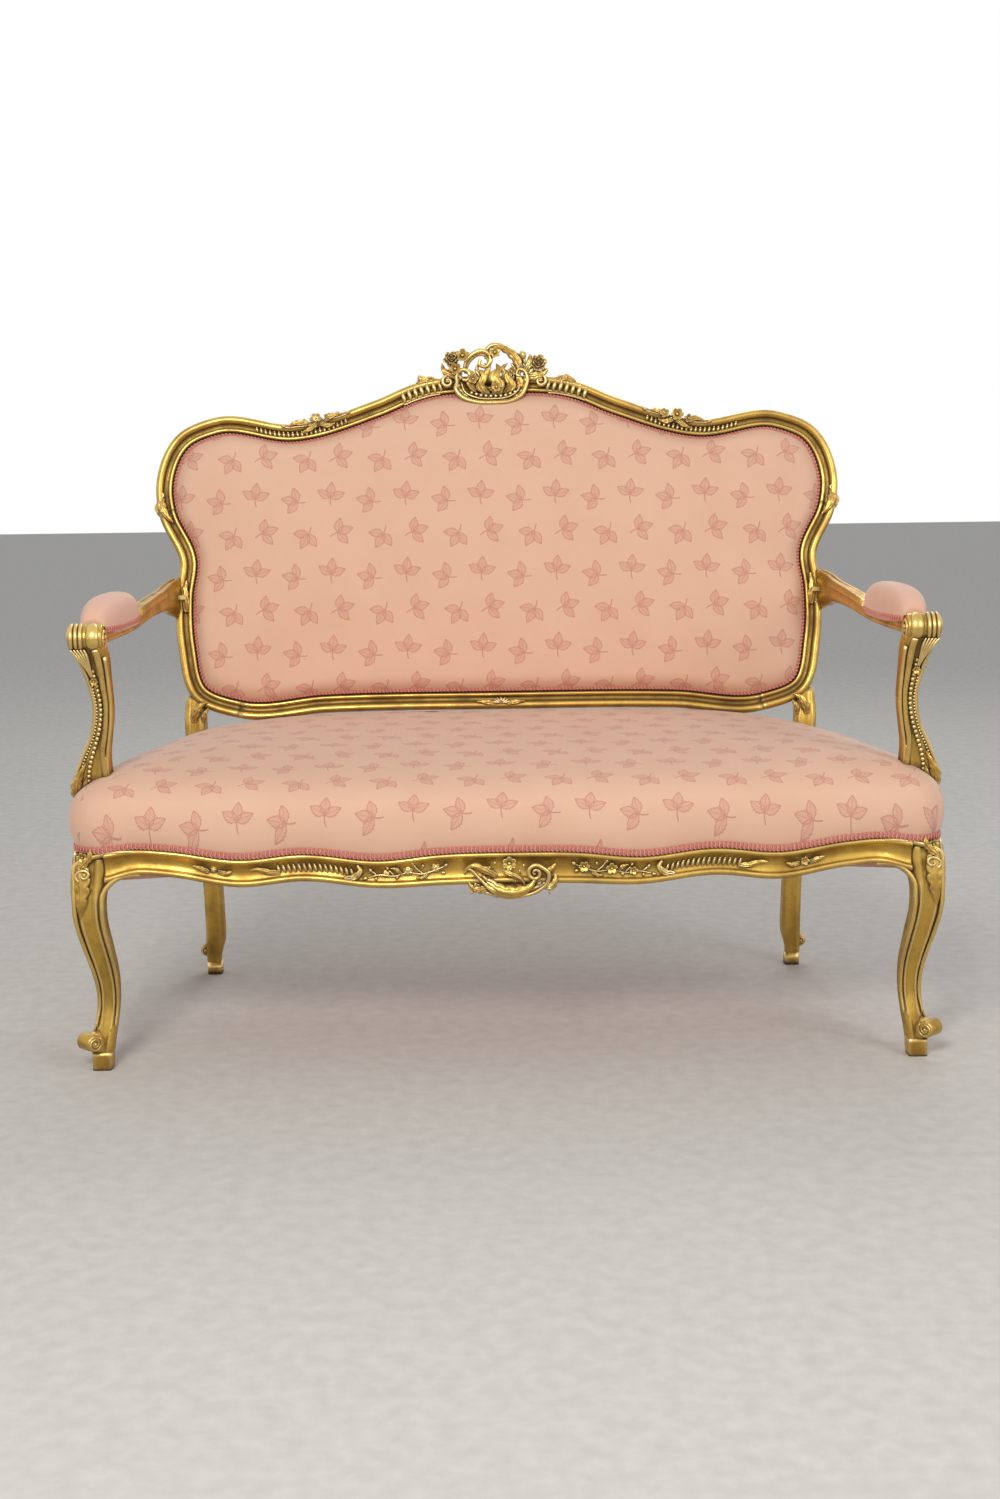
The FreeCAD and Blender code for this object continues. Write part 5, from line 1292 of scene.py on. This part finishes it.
def carvedCrest():
    on, away = onDrawing, offSlope
    parts = []

    # the shell behind: a fluted dish that fills the basin and dies into the leaves above
    def dish(i, j):
        share, turn = i / 14, math.radians(172 + 196 * j / 84)
        x = -8 + (62 - 47 * share) * math.cos(turn) * (0.98 if turn < 4.7 else 0.96)
        z = 1028 + (41 - 33 * share) * math.sin(turn)
        groove = abs(math.sin(13 * (turn - 3.0)))
        return on(x, z, 7.5 - 15.5 * math.sin(math.pi * 0.5 * min(1.0, share * 1.5)) + 3.0 * groove * (1 - share))

    shell = shapedGrid("shell", 14, 84, dish, merged=False)
    parts.append(applied(shell, "SOLIDIFY", thickness=0.003, offset=-1.0))
    # the basin: a bright C-scroll with a curl at each end
    rim = curlPoints(-55, 1034, -150, 15, -0.95, 6, 0.35, 12)[::-1]
    rim += [(-70, 1012, 8), (-60, 999, 9), (-39, 990.5, 10), (-4, 988, 10.5), (26, 991, 10), (43, 1001, 9),
            (51, 1016, 8), (54, 1031, 7), (49, 1043, 7), (39, 1045, 7), (35, 1037, 8), (41, 1033, 9)]
    parts += carved(on, [
        (vine, rim, [2.0, 3.4, 4.0, 4.2, 4.2, 3.8, 2.6], 12),
        (vine, [(-61, 1024, 6), (-54, 1007, 7), (-37, 998, 8), (-4, 995, 8), (23, 999, 8), (36, 1008, 7),
         (43, 1024, 6)], [1.2, 1.9, 2.0, 1.9, 1.2]),
        (beadRow, [(-43, 1006, 6), (-24, 1001, 7), (-4, 1000, 7), (15, 1001, 7), (32, 1007, 6)], 3.2, 9.0)], away)
    # the upper left curl
    curl = [(-56, 1045, 4), (-51, 1061, 6), (-38, 1073, 8), (-22, 1077, 9), (-11, 1070, 9), (-10, 1058, 9),
            (-19, 1050, 9), (-29, 1054, 10), (-27, 1062, 11)]
    parts += carved(on, [
        (vine, curl, [2.4, 4.2, 4.8, 4.2, 3.4, 2.8], 12),
        (vine, [(x * 0.86 - 5, z - 4.5, o - 4) for x, z, o in curl[:6]], [2.6, 3.4, 3.2, 2.2]),
        # the domed leaf over the top, rolled to the right
        (vine, [(-17, 1064, 4), (-17, 1076, 7), (-9, 1085, 8), (3, 1087, 8), (16, 1082, 7), (28, 1070, 6),
         (36, 1056, 5), (40, 1042, 4)], [2.6, 4.2, 5.0, 5.4, 5.0, 4.2], 12),
        (leaf, [(44, 1040, 5), (37, 1060, 8), (23, 1075, 10), (5, 1082, 12), (-9, 1077, 12)], 9.0, 5, 3.0),
        (leaf, [(46, 1044, 0), (42, 1060, 1), (30, 1076, 2), (12, 1087, 2)], 6.0, 5, 2.0),
        (petalFlower, -2, 1073, 15, 10.0, 6, 0.30, 20)], away)
    # acanthus in the middle
    for spine, wide, lobes in (([(-2, 1000, 2), (4, 1014, 9), (-2, 1032, 12), (4, 1048, 8), (0, 1056, 4)], 13, 4),
                               ([(-14, 1003, 1), (-27, 1018, 6), (-22, 1036, 8), (-35, 1046, 5)], 10, 4),
                               ([(14, 1003, 1), (26, 1017, 6), (20, 1034, 8), (30, 1050, 5)], 10, 4),
                               ([(-34, 1010, 1), (-46, 1024, 4), (-42, 1038, 5), (-50, 1048, 4)], 8, 3),
                               ([(30, 1010, 1), (42, 1022, 4), (38, 1036, 5), (44, 1046, 4)], 8, 3),
                               ([(-8, 1026, 6), (-16, 1040, 8), (-12, 1050, 7), (-20, 1056, 5)], 6, 3),
                               ([(8, 1026, 6), (15, 1038, 8), (12, 1048, 7), (20, 1056, 5)], 6, 3)):
        parts.append(leaf(on, spine, wide, lobes, 3.5, 0.0018))
    parts += carved(on, [
        (vine, [(-34, 1014, 1), (-27, 1030, 3), (-34, 1046, 4), (-28, 1058, 4)], [3.4, 4.0, 3.4, 2.0]),
        (vine, [(32, 1014, 1), (28, 1028, 3), (34, 1044, 4), (27, 1056, 4)], [3.4, 4.0, 3.4, 2.0]),
        (petalFlower, -40, 1029, 9, 10, 5, 0.5),
        (petalFlower, 27, 1041, 10, 8, 5, 0.5, 25),
        (petalFlower, 0, 1014, 13, 8.5, 6, 0.4, 10),
        # flowers and leaves at the left
        (rose, -77, 1064, 5, 14.5),
        (petalFlower, -58, 1070, 7, 12, 5, 0.40, 15),
        (petalFlower, -71, 1047, 8, 11, 5, 0.4, 40),
        (vine, [(-60, 1030, 1), (-70, 1042, 2), (-78, 1058, 1)], [5.0, 6.0, 4.0]),
        (leaf, [(-60, 1042, 3), (-76, 1038, 5), (-90, 1045, 4), (-94, 1058, 2)], 8, 4, 3),
        # the rose at the right, with its bud
        (rose, 74, 1056, 6, 15),
        (vine, [(54, 1034, 1), (62, 1044, 2), (74, 1054, 1)], [5.0, 6.0, 4.0]),
        (vine, [(50, 1036, 3), (53, 1052, 4), (48, 1064, 5)], [3.4, 2.8, 3.2]),
        (bud, 47, 1070, 6, 6.6, 100),
        (leaf, [(52, 1034, 3), (66, 1034, 5), (80, 1038, 4), (90, 1046, 2)], 7.5, 4, 3),
        (leaf, [(50, 1042, 5), (58, 1054, 7), (60, 1070, 5)], 6, 3, 2.5)], away)
    for x in (-84, 77):
        parts += carved(on, [
            (vine, curlPoints(x, 1026, 90, 10.5, 1.2 if x < 0 else -1.2, 4, 0.2), [3.0, 3.4, 2.8, 2.2]),
            (bud, x, 1026, 6, 3.4, 0)], away)
    dressed(join("crestCartouche", parts), carvedGilt, "gilt_carving", "crest_cartouche")
    print("crest carved")


def leafSpray(name, on, spray, away=front, lift=lambda *p: p):
    # flowers, stems, leaves and buds of one spray; lift can shift their heights
    parts = [petalFlower(on, *lift(*row[:4]), row[4], 0.42, row[5]) for row in spray["flowers"]]
    parts += [vine(on, [lift(*p) for p in points], [0.9, 1.3, 1.0], 6, 1.0, 4, away) for points in spray["stems"]]
    parts += [leaf(on, [lift(*p) for p in spine], wide, 3, 1.6, 0.0012, 1.0) for spine, wide in spray["leaves"]]
    parts += [bud(on, *lift(*row)) for row in spray["buds"]]
    return join(name, parts)


# heights over the line of the crest
crestSpray = {
    "flowers": [(314, 16, 3, 11, 6, 0), (334, 13, 3, 8, 5, 20), (292, 13, 3, 8.5, 5, 35)],
    "stems": [[(255, 10, 1), (280, 9, 2), (300, 10, 2)], [(330, 8, 2), (350, 9, 2), (372, 8, 1)]],
    "leaves": [([(300, 10, 2), (284, 16, 4), (268, 13, 3)], 5.5), ([(328, 10, 2), (346, 15, 4), (362, 11, 3)], 5.5),
               ([(312, 8, 4), (322, 2, 4), (338, -2, 2)], 5), ([(306, 8, 4), (294, 2, 4), (280, 0, 2)], 5)],
    "buds": [(258, 11, 2, 3.2, 150), (370, 10, 2, 3.2, 20), (276, 17, 2, 2.8, 120), (352, 16, 2, 2.8, 60)]}
# heights over the floor
railSpray = {
    "flowers": [(109, 311, 0.5, 8.0, 6, 0), (150, 307, 0.5, 8.5, 5, 20), (182, 303, 0.5, 6.5, 5, 0)],
    "stems": [[(92, 316, -1), (109, 309, 0), (130, 303, 0), (150, 306, 0)],
              [(150, 306, 0), (170, 300, 0), (190, 302, 0), (212, 297, -1)],
              [(128, 304, 0), (137, 311, 0), (142, 318, 0)], [(170, 301, 0), (178, 309, 0)],
              [(196, 302, 0), (205, 309, 0)]],
    "leaves": [([(120, 305, 0), (128, 298, 1), (138, 297, 0)], 3.6),
               ([(160, 303, 0), (168, 311, 1), (176, 312, 0)], 3.6)],
    "buds": [(94, 316, 0, 3.0, 140), (143, 318, 0, 2.8, 80), (205, 309, 0, 2.8, 60), (213, 297, 0, 3.0, -10),
             (98, 305, 0, 2.6, 200), (128, 315, 0, 2.6, 100), (166, 298, 0, 2.6, -60), (197, 296, 0, 2.4, -80),
             (180, 312, 0, 2.4, 70)]}


def carvedSprays():
    # the sprays along the shoulders of the crest and on the rail, and the leaves over the joints
    for side, sign in (("right", 1), ("left", -1)):
        on = flipped(onDrawing, sign)
        spray = leafSpray(side + "CrestSpray", on, crestSpray, offSlope, overCrest)
        dressed(spray, carvedGilt, "gilt_carving", side + "_crest_flower_spray")
        shoulder = join(side + "ShoulderLeaf", carved(on, [
            (leaf, [(583, 838, -6), (582, 822, 0), (574, 804, 1), (562, 792, -2)], 8.5, 4, 3.0),
            (leaf, [(584, 834, -10), (590, 818, -8), (584, 800, -8)], 6, 3, 2.5),
            (vine, curlPoints(583, 838, -60, 6.5, 1.1, -4, 0.25), [1.6, 2.2, 2.0, 1.4])], offSlope))
        dressed(shoulder, carvedGilt, "gilt_carving", side + "_shoulder_leaf")
        corner = join(side + "CornerLeaf", carved(on, [
            (leaf, [(531, 452, -2), (527, 466, 2), (518, 480, 3), (506, 486, 1)], 8, 4, 3.0),
            (leaf, [(512, 452, -2), (512, 464, 1), (504, 476, 1)], 6, 3, 2.5)]))
        dressed(corner, carvedGilt, "gilt_carving", side + "_corner_leaf")
        spray = leafSpray(side + "RailSpray", flipped(onRail, sign), railSpray)
        dressed(spray, carvedGilt, "gilt_carving", side + "_rail_flower_spray")
    print("sprays carved")


def carvedRail():
    on = onRail
    parts = [petalFlower(on, -1, 319, 5, 10.5, 6, 0.28, 30)]

    # the bowl of the shell, below the hem of the rail
    def bowl(i, j):
        share, turn = i / 10, math.radians(176 + 188 * j / 56)
        groove = abs(math.sin(10 * (turn - 3.0)))
        return on(-4 + (50 - 38 * share) * math.cos(turn), 294 + (24 - 17 * share) * math.sin(turn),
                  5.0 - 7.0 * math.sin(math.pi * 0.5 * min(1.0, share * 1.4)) + 1.8 * groove * (1 - share))

    shell = shapedGrid("bowlShell", 10, 56, bowl, merged=False)
    parts.append(applied(shell, "SOLIDIFY", thickness=0.006, offset=-1.0))
    scroll = curlPoints(37, 304, 40, 12.5, 1.5, 7, 0.18, 18)[::-1]
    scroll = [(37, 304, 9)] + scroll + [(56, 304, 7), (55, 290, 7), (42, 278, 7), (16, 270, 8), (-12, 270, 8),
                                        (-30, 281, 7), (-46, 298, 6), (-62, 311, 4), (-68, 305, 3)]
    parts += carved(on, [
        (vine, scroll, [1.2, 1.8, 2.4, 2.8, 3.2, 3.4, 3.2, 2.8, 2.0], 10),
        (vine, [(44, 284, 3), (18, 274, 4), (-10, 274, 4), (-26, 286, 4), (-40, 300, 3)],
         [3.5, 5.0, 5.2, 4.4, 2.6], 12),
        (leaf, [(-34, 292, 4), (-14, 279, 8), (10, 277, 9), (30, 285, 7), (36, 294, 5)], 9.5, 5, 4),
        (leaf, [(-20, 300, 4), (-38, 310, 6), (-54, 316, 5), (-68, 309, 3)], 6.5, 4, 3),
        (leaf, [(-30, 284, 3), (-44, 280, 5), (-56, 284, 4), (-62, 293, 2)], 7, 4, 3),
        (leaf, [(48, 286, 3), (60, 284, 5), (66, 293, 4), (66, 302, 2)], 5.5, 3, 3),
        (leaf, [(50, 304, 4), (60, 310, 5), (68, 318, 3)], 4.5, 3, 2),
        (leaf, [(-10, 308, 5), (4, 302, 7), (16, 295, 6), (22, 286, 5)], 5, 3, 3),
        (petalFlower, -48, 283, 6, 6, 5, 0.4)])
    for x, z in ((-22, 319), (-30, 312), (14, 306), (20, 315), (58, 274), (62, 280), (-56, 276), (8, 292)):
        parts.append(bud(on, x, z, 4, 2.4, 90))
    dressed(join("railCartouche", parts), carvedGilt, "gilt_carving", "rail_cartouche")
    # what is carved in the rail itself
    extra = []
    for sign in (1, -1):
        extra += carved(flipped(onRail, sign), [
            (flutes, [(232, 305, 0), (262, 311, 0), (300, 313, 0), (340, 311, 0)], 10.5, 2.6, 7.6, 0.2, 16),
            (leaf, [(243, 296, 0), (228, 300, 2), (220, 309, 2), (224, 317, 0)], 4.6, 3, 2.2),
            (leaf, [(338, 306, 0), (356, 308, 2), (372, 312, 2), (384, 310, 0)], 5.0, 3, 2.2),
            (petalFlower, 437, 311, 1.0, 7, 5, 0.5),
            (leaf, [(444, 308, 0), (456, 314, 2), (468, 318, 1)], 4.5, 3, 2),
            (leaf, [(430, 308, 0), (418, 306, 2), (408, 309, 1)], 4.5, 3, 2)])
    joinInto("frontSeatRail", extra)
    print("rail carved")


def carvedFrame():
    # gadroons either side of the cartouche and the fluted strips of the shoulders
    extra = []
    for sign in (1, -1):
        start, budAt = (90, 122) if sign > 0 else (97, 132)
        panel = [overCrest(start + 16 * k, -1.0, 0) for k in range(5)]
        edge = [(x, z - 12.5, 0) for x, z, out in panel]
        strip = [overCrest(262 + 22 * k, -4.0, 0) for k in range(8)]
        extra += carved(flipped(onDrawing, sign), [
            (flutes, panel, 17, 4.2, 10.4, -2.0, 14),
            (vine, edge, [1.2, 1.6, 1.6, 1.2]),
            (flutes, strip, 8.0, 2.5, 8.0, -2.0, 10, 0.6),
            (bud, budAt, crestZ(126) + 20, -3, 5.4, 80),
            (leaf, [overCrest(138, 13, -3), overCrest(124, 17, -1), overCrest(108, 18, -2)], 5.5, 3, 2.5),
            (leaf, [overCrest(100, 12, -4), overCrest(116, 14, -2), overCrest(142, 12, -4)], 4.5, 4, 2.5)], offSlope)
    joinInto("crestRail", extra)
    # a clasp of leaf and beads where the arm meets the stile
    for title, sign in (("rightBackLeg", 1), ("leftBackLeg", -1)):
        joinInto(title, carved(flipped(onDrawing, sign), [
            (leaf, [(541, 640, -6), (543, 656, -2.5), (544, 672, -2), (541, 694, -5)], 8.5, 4, 2.6),
            (leaf, [(552, 646, -5), (557, 660, -2), (557, 676, -2), (551, 692, -4)], 5.5, 3, 2.2),
            (beadRow, [(549, 642, -2.5), (552.5, 656, -1.5), (553, 672, -1.5), (549, 690, -2.5)], 1.9, 4.6)]))
    # a small shell in the middle of the lower rail
    shell = []
    for k in range(-3, 4):
        a = math.radians(90 + 24 * k)
        rib = [(0, 477, 1), (9 * math.cos(a), 477 + 5 * math.sin(a), 3),
               (17 * math.cos(a), 477 + 10.5 * math.sin(a), 1)]
        shell.append(vine(onDrawing, rib, [1.0, 1.9, 1.3], 6, 1.0, 3, offSlope))
    for sign in (1, -1):
        shell.append(leaf(flipped(onDrawing, sign), [(8, 477, 1), (24, 479, 2), (42, 481, 0)], 5, 3, 1.8))
    joinInto("backLowerRail", shell)
    print("frame carved")


def carvedLegs():
    corner = Vector((0.707, -0.707, 0))

    # knees: an acanthus with a trail of beads
    def onKnee(x, z, out=0.0):
        # x runs round the outer corner of the leg, from its front to its side
        height = min(max(z / 1000, 0.02), 0.3515)
        share = x / 22.0
        if share < 0:
            spot, way = legPoint(height, 0.90 + share, -0.97), front
        else:
            spot, way = legPoint(height, 0.97, -0.90 + share), Vector((1, 0, 0))
        way = way.lerp(corner, max(0.0, 1 - abs(share) * 2.5)).normalized()
        return spot + way * (out / 1000)

    parts = carved(onKnee, [
        (leaf, [(-4, 330, 1), (-9, 300, 2.5), (-11, 270, 2.5), (-8, 238, 1)], 12.5, 6, 3.4, 0.0016, 0.5),
        (leaf, [(-2, 312, 3), (-12, 322, 4), (-20, 334, 3.5), (-21, 345, 2)], 7, 4, 2.6, 0.0014, 0.5),
        (leaf, [(3, 322, 0.5), (8, 296, 1.5), (9, 270, 1.5), (8, 246, 0.3)], 7.5, 5, 2.4, 0.0014, 0.5),
        (vine, curlPoints(-13, 304, -90, 10.5, 1.3, 4.0, 0.2), [1.8, 2.6, 2.4, 1.6])])
    edge = [(-1, 340, 0), (-0.5, 300, 1), (-0.5, 262, 1), (-0.5, 236, 0)]
    parts.append(vine(onKnee, edge, [1.5, 2.2, 2.0, 1.2], away=corner))
    parts += carved(onKnee, [
        (petalFlower, -10, 331, 3.5, 7.5, 5, 0.4),
        (beadRow, [(-0.5, 236, 0.6), (-0.5, 222, 0.4), (-0.5, 205, 0.2), (-0.5, 188, 0)], 2.3, 5.4)])
    bothSides(parts, "KneeLeaf", carvedGilt, "gilt_carving", "knee_leaf")

    # arm supports: a shell at the foot, a fan under the hand-hold
    def onSupport(x, z, out=0.0):
        spot = supportAt(min(max(z / 1000, 0.338), 0.636), x / 27.0)
        return spot + Vector((0, -out / 1000, 0))

    footCurl = [(-20, 470, 0.5), (-22, 445, 1), (-22, 425, 1.5)] + curlPoints(-11, 414, 170, 11, 1.3, 1.0, 0.2)
    extra = carved(onSupport, [
        (leaf, [(17, 396, 0), (21, 416, 2), (19, 440, 2), (13, 462, 1)], 9, 5, 3, 0.0016, 0.5),
        (leaf, [(8, 398, 0), (10, 418, 2), (7, 440, 1)], 6, 4, 2.4, 0.0014, 0.5),
        (vine, footCurl, [1.4, 2.4, 2.8, 2.6, 2.0], 10),
        (bud, -11, 414, 1.5, 3.0, 0)])
    for k in range(5):
        rib = [(9 + k * 0.8, 588, 0.5), (8 + k * 2.2, 606, 3.0), (5 + k * 4.6, 624, 3.6), (4 + k * 5.2, 634, 1.0)]
        extra.append(vine(onSupport, rib, [0.9, 1.8, 2.3, 1.5], steps=4))
    # a broad plain roll down the inner half, closed by the curl at its foot
    extra += carved(onSupport, [
        (vine, [(-12, 634, -1), (-11, 615, 1), (-10, 585, 1), (-10, 550, 1), (-11, 510, 1), (-14, 475, 1),
         (-19, 448, 1), (-21, 430, 1)], [5.0, 5.6, 4.6, 3.8, 3.8, 4.2, 4.4, 3.2], 14, 0.8),
        (petalFlower, 9, 585, 2.0, 6.0, 6, 0.4),
        (beadRow, [(20, 428, 0.6), (18, 462, 0.6), (17, 500, 0.6), (17, 540, 0.6), (17, 578, 0.6)], 1.9, 4.9)])
    carving = join("supportCarving", extra)
    mirrored = twin(carving, mirrorX)
    joinInto("rightArmSupport", [carving])
    joinInto("leftArmSupport", [mirrored])
    print("legs and supports carved")


carvedCrest()
carvedSprays()
carvedRail()
carvedFrame()
carvedLegs()


# The two plain cloths
def makeSheets():
    # the outside of the back: one flat piece tacked to the frame
    count, rings = len(backRing), 10
    behind = -backLine["deep"] + 0.0005

    def place(i, j):
        spot = backRing[i % count]
        edge = spot + backInward(i % count) * 0.0135
        flat = edge.lerp(towardsMiddle(edge, backMiddle), j / rings)
        return Vector((flat.x, flat.y, behind - 0.0012 * math.sin(math.pi * 0.5 * j / rings)))

    cover = toBack(shapedGrid("outsideBackCover", count, rings, place))
    applied(cover, "SOLIDIFY", thickness=0.0012, offset=0.0)
    clothMap(cover, lambda c, n: ((fromBack @ c).x + 0.031, (fromBack @ c).y))
    dressed(cover, damask, "leaf_damask", "outside_back_cover")

    # the dust cover under the seat, tacked inside the hem and hanging a little
    rings = 14
    hang = {"inset": 0.020, "highest": 0.3005, "lowest": 0.2885, "middle": 0.2785, "rear": 0.292}

    def placeDust(i, j):
        k = i % planCount
        spot = planRing[k] - planNormal(k) * hang["inset"]
        share = j / rings
        flat = spot.lerp(Vector((spot.x * 0.25, 0.22 - setback, 0)), share)
        rim = smoothAt(hemMarks, abs(planRing[k].x)) if planRing[k].y + setback < 0.45 else hang["rear"]
        level = max(min(rim + 0.0015, hang["highest"]), hang["lowest"])
        drop = (hang["middle"] - level) * math.sin(math.pi * 0.5 * min(1.0, share * 1.6))
        return Vector((flat.x, flat.y, level + drop))

    dust = shapedGrid("dustCover", planCount, rings, placeDust)
    applied(dust, "SOLIDIFY", thickness=0.0012, offset=0.0)
    clothMap(dust, lambda c, n: (c.x, c.y))
    dressed(dust, lining, "lining_cloth", "dust_cover")
    return cover, dust


outsideCover, dustCover = makeSheets()
print("sheets laid")


# Everything of the frame that stays as it is gets its finish; the ends of the pegs were gilded over
for finish, titles in (
        (beech, ("back_seat_rail", "centre_seat_brace", "right_front_corner_block", "left_front_corner_block",
                 "right_back_corner_block", "left_back_corner_block")),
        (gilt, ("joint_pegs",)),
        (jute, ("seat_webbing", "back_webbing", "seat_hessian", "back_hessian")),
        (blackWire, ("seat_springs", "block_nails"))):
    for title in titles:
        nodes[title].data.materials.clear()
        nodes[title].data.materials.append(finish)

# The room: a pale floor, soft lamps and the photographer's place
floorLook, floorTree = newMaterial("paleFloor")
floorShader = node(floorTree, "ShaderNodeBsdfPrincipled")
floorPlace = node(floorTree, "ShaderNodeTexCoord").outputs["Object"]
floorSpots = ranged(floorTree, noiseOf(floorTree, floorPlace, 40.0, 6.0), 0.3, 0.7)
floorTone = mixed(floorTree, floorSpots, (0.60, 0.575, 0.545), (0.68, 0.66, 0.63))
wire(floorTree, floorTone, floorShader.inputs["Base Color"])
floorShader.inputs["Roughness"].default_value = 0.9
wire(floorTree, floorShader.outputs[0], node(floorTree, "ShaderNodeOutputMaterial").inputs[0])
pickNothing()
bpy.ops.mesh.primitive_plane_add(size=30, location=(0, 0, 0))
floor = bpy.context.object
floor.name = "floor"
floor.data.materials.append(floorLook)

world = bpy.data.worlds.new("studio")
world.use_nodes = True
bpy.context.scene.world = world
airTree = world.node_tree
airTree.nodes.clear()
rays = airTree.nodes.new("ShaderNodeLightPath")
seen = maths(airTree, "MAXIMUM", rays.outputs["Is Camera Ray"], rays.outputs["Is Glossy Ray"])
seen = maths(airTree, "MAXIMUM", seen, rays.outputs["Is Transmission Ray"])
air = airTree.nodes.new("ShaderNodeBackground")
air.inputs["Color"].default_value = (0.95, 0.98, 1.0, 1)
air.inputs["Strength"].default_value = 0.42
white = airTree.nodes.new("ShaderNodeBackground")
white.inputs["Color"].default_value = (1, 1, 1, 1)
white.inputs["Strength"].default_value = 1.0
either = airTree.nodes.new("ShaderNodeMixShader")
wire(airTree, seen, either.inputs[0])
wire(airTree, air.outputs[0], either.inputs[1])
wire(airTree, white.outputs[0], either.inputs[2])
wire(airTree, either.outputs[0], airTree.nodes.new("ShaderNodeOutputWorld").inputs[0])


def softLamp(name, place, target, size, power, tint=(1, 1, 1)):
    lamp = bpy.data.lights.new(name, "AREA")
    lamp.shape = "RECTANGLE"
    lamp.size, lamp.size_y = size
    lamp.energy = power
    lamp.color = tint
    holder = bpy.data.objects.new(name, lamp)
    bpy.context.scene.collection.objects.link(holder)
    holder.location = place
    holder.rotation_euler = (Vector(target) - Vector(place)).to_track_quat("-Z", "Y").to_euler()


softLamp("keyLamp", (-0.9, -3.4, 2.6), (0, 0, 0.6), (1.1, 0.9), 74, (1.0, 0.965, 0.90))
softLamp("fillLamp", (2.4, -2.6, 2.0), (0, 0, 0.5), (1.4, 1.4), 26)
softLamp("rimLamp", (0.6, 2.6, 2.8), (0, 0, 0.7), (2.0, 1.0), 24)

eye = {"spot": (-0.06167696, -2.91932371 - setback, 0.95913748), "yaw": 0.017144427, "down": 0.162975628,
       "roll": -0.0121749044, "lens": 48.03}
forward = Vector((math.sin(eye["yaw"]) * math.cos(eye["down"]), math.cos(eye["yaw"]) * math.cos(eye["down"]),
                  -math.sin(eye["down"])))
right = Vector((math.cos(eye["yaw"]), -math.sin(eye["yaw"]), 0))
above = right.cross(forward)
sideways = right * math.cos(eye["roll"]) + above * math.sin(eye["roll"])
upwards = above * math.cos(eye["roll"]) - right * math.sin(eye["roll"])
lensData = bpy.data.cameras.new("photographer")
lensData.lens = eye["lens"]
lensData.sensor_width = 36
camera = bpy.data.objects.new("photographer", lensData)
bpy.context.scene.collection.objects.link(camera)
camera.matrix_world = Matrix.Translation(eye["spot"]) @ Matrix((sideways, upwards, -forward)).transposed().to_4x4()
bpy.context.scene.camera = camera
bpy.context.scene.view_settings.view_transform = "Standard"
print("room set")

bpy.context.view_layer.update()
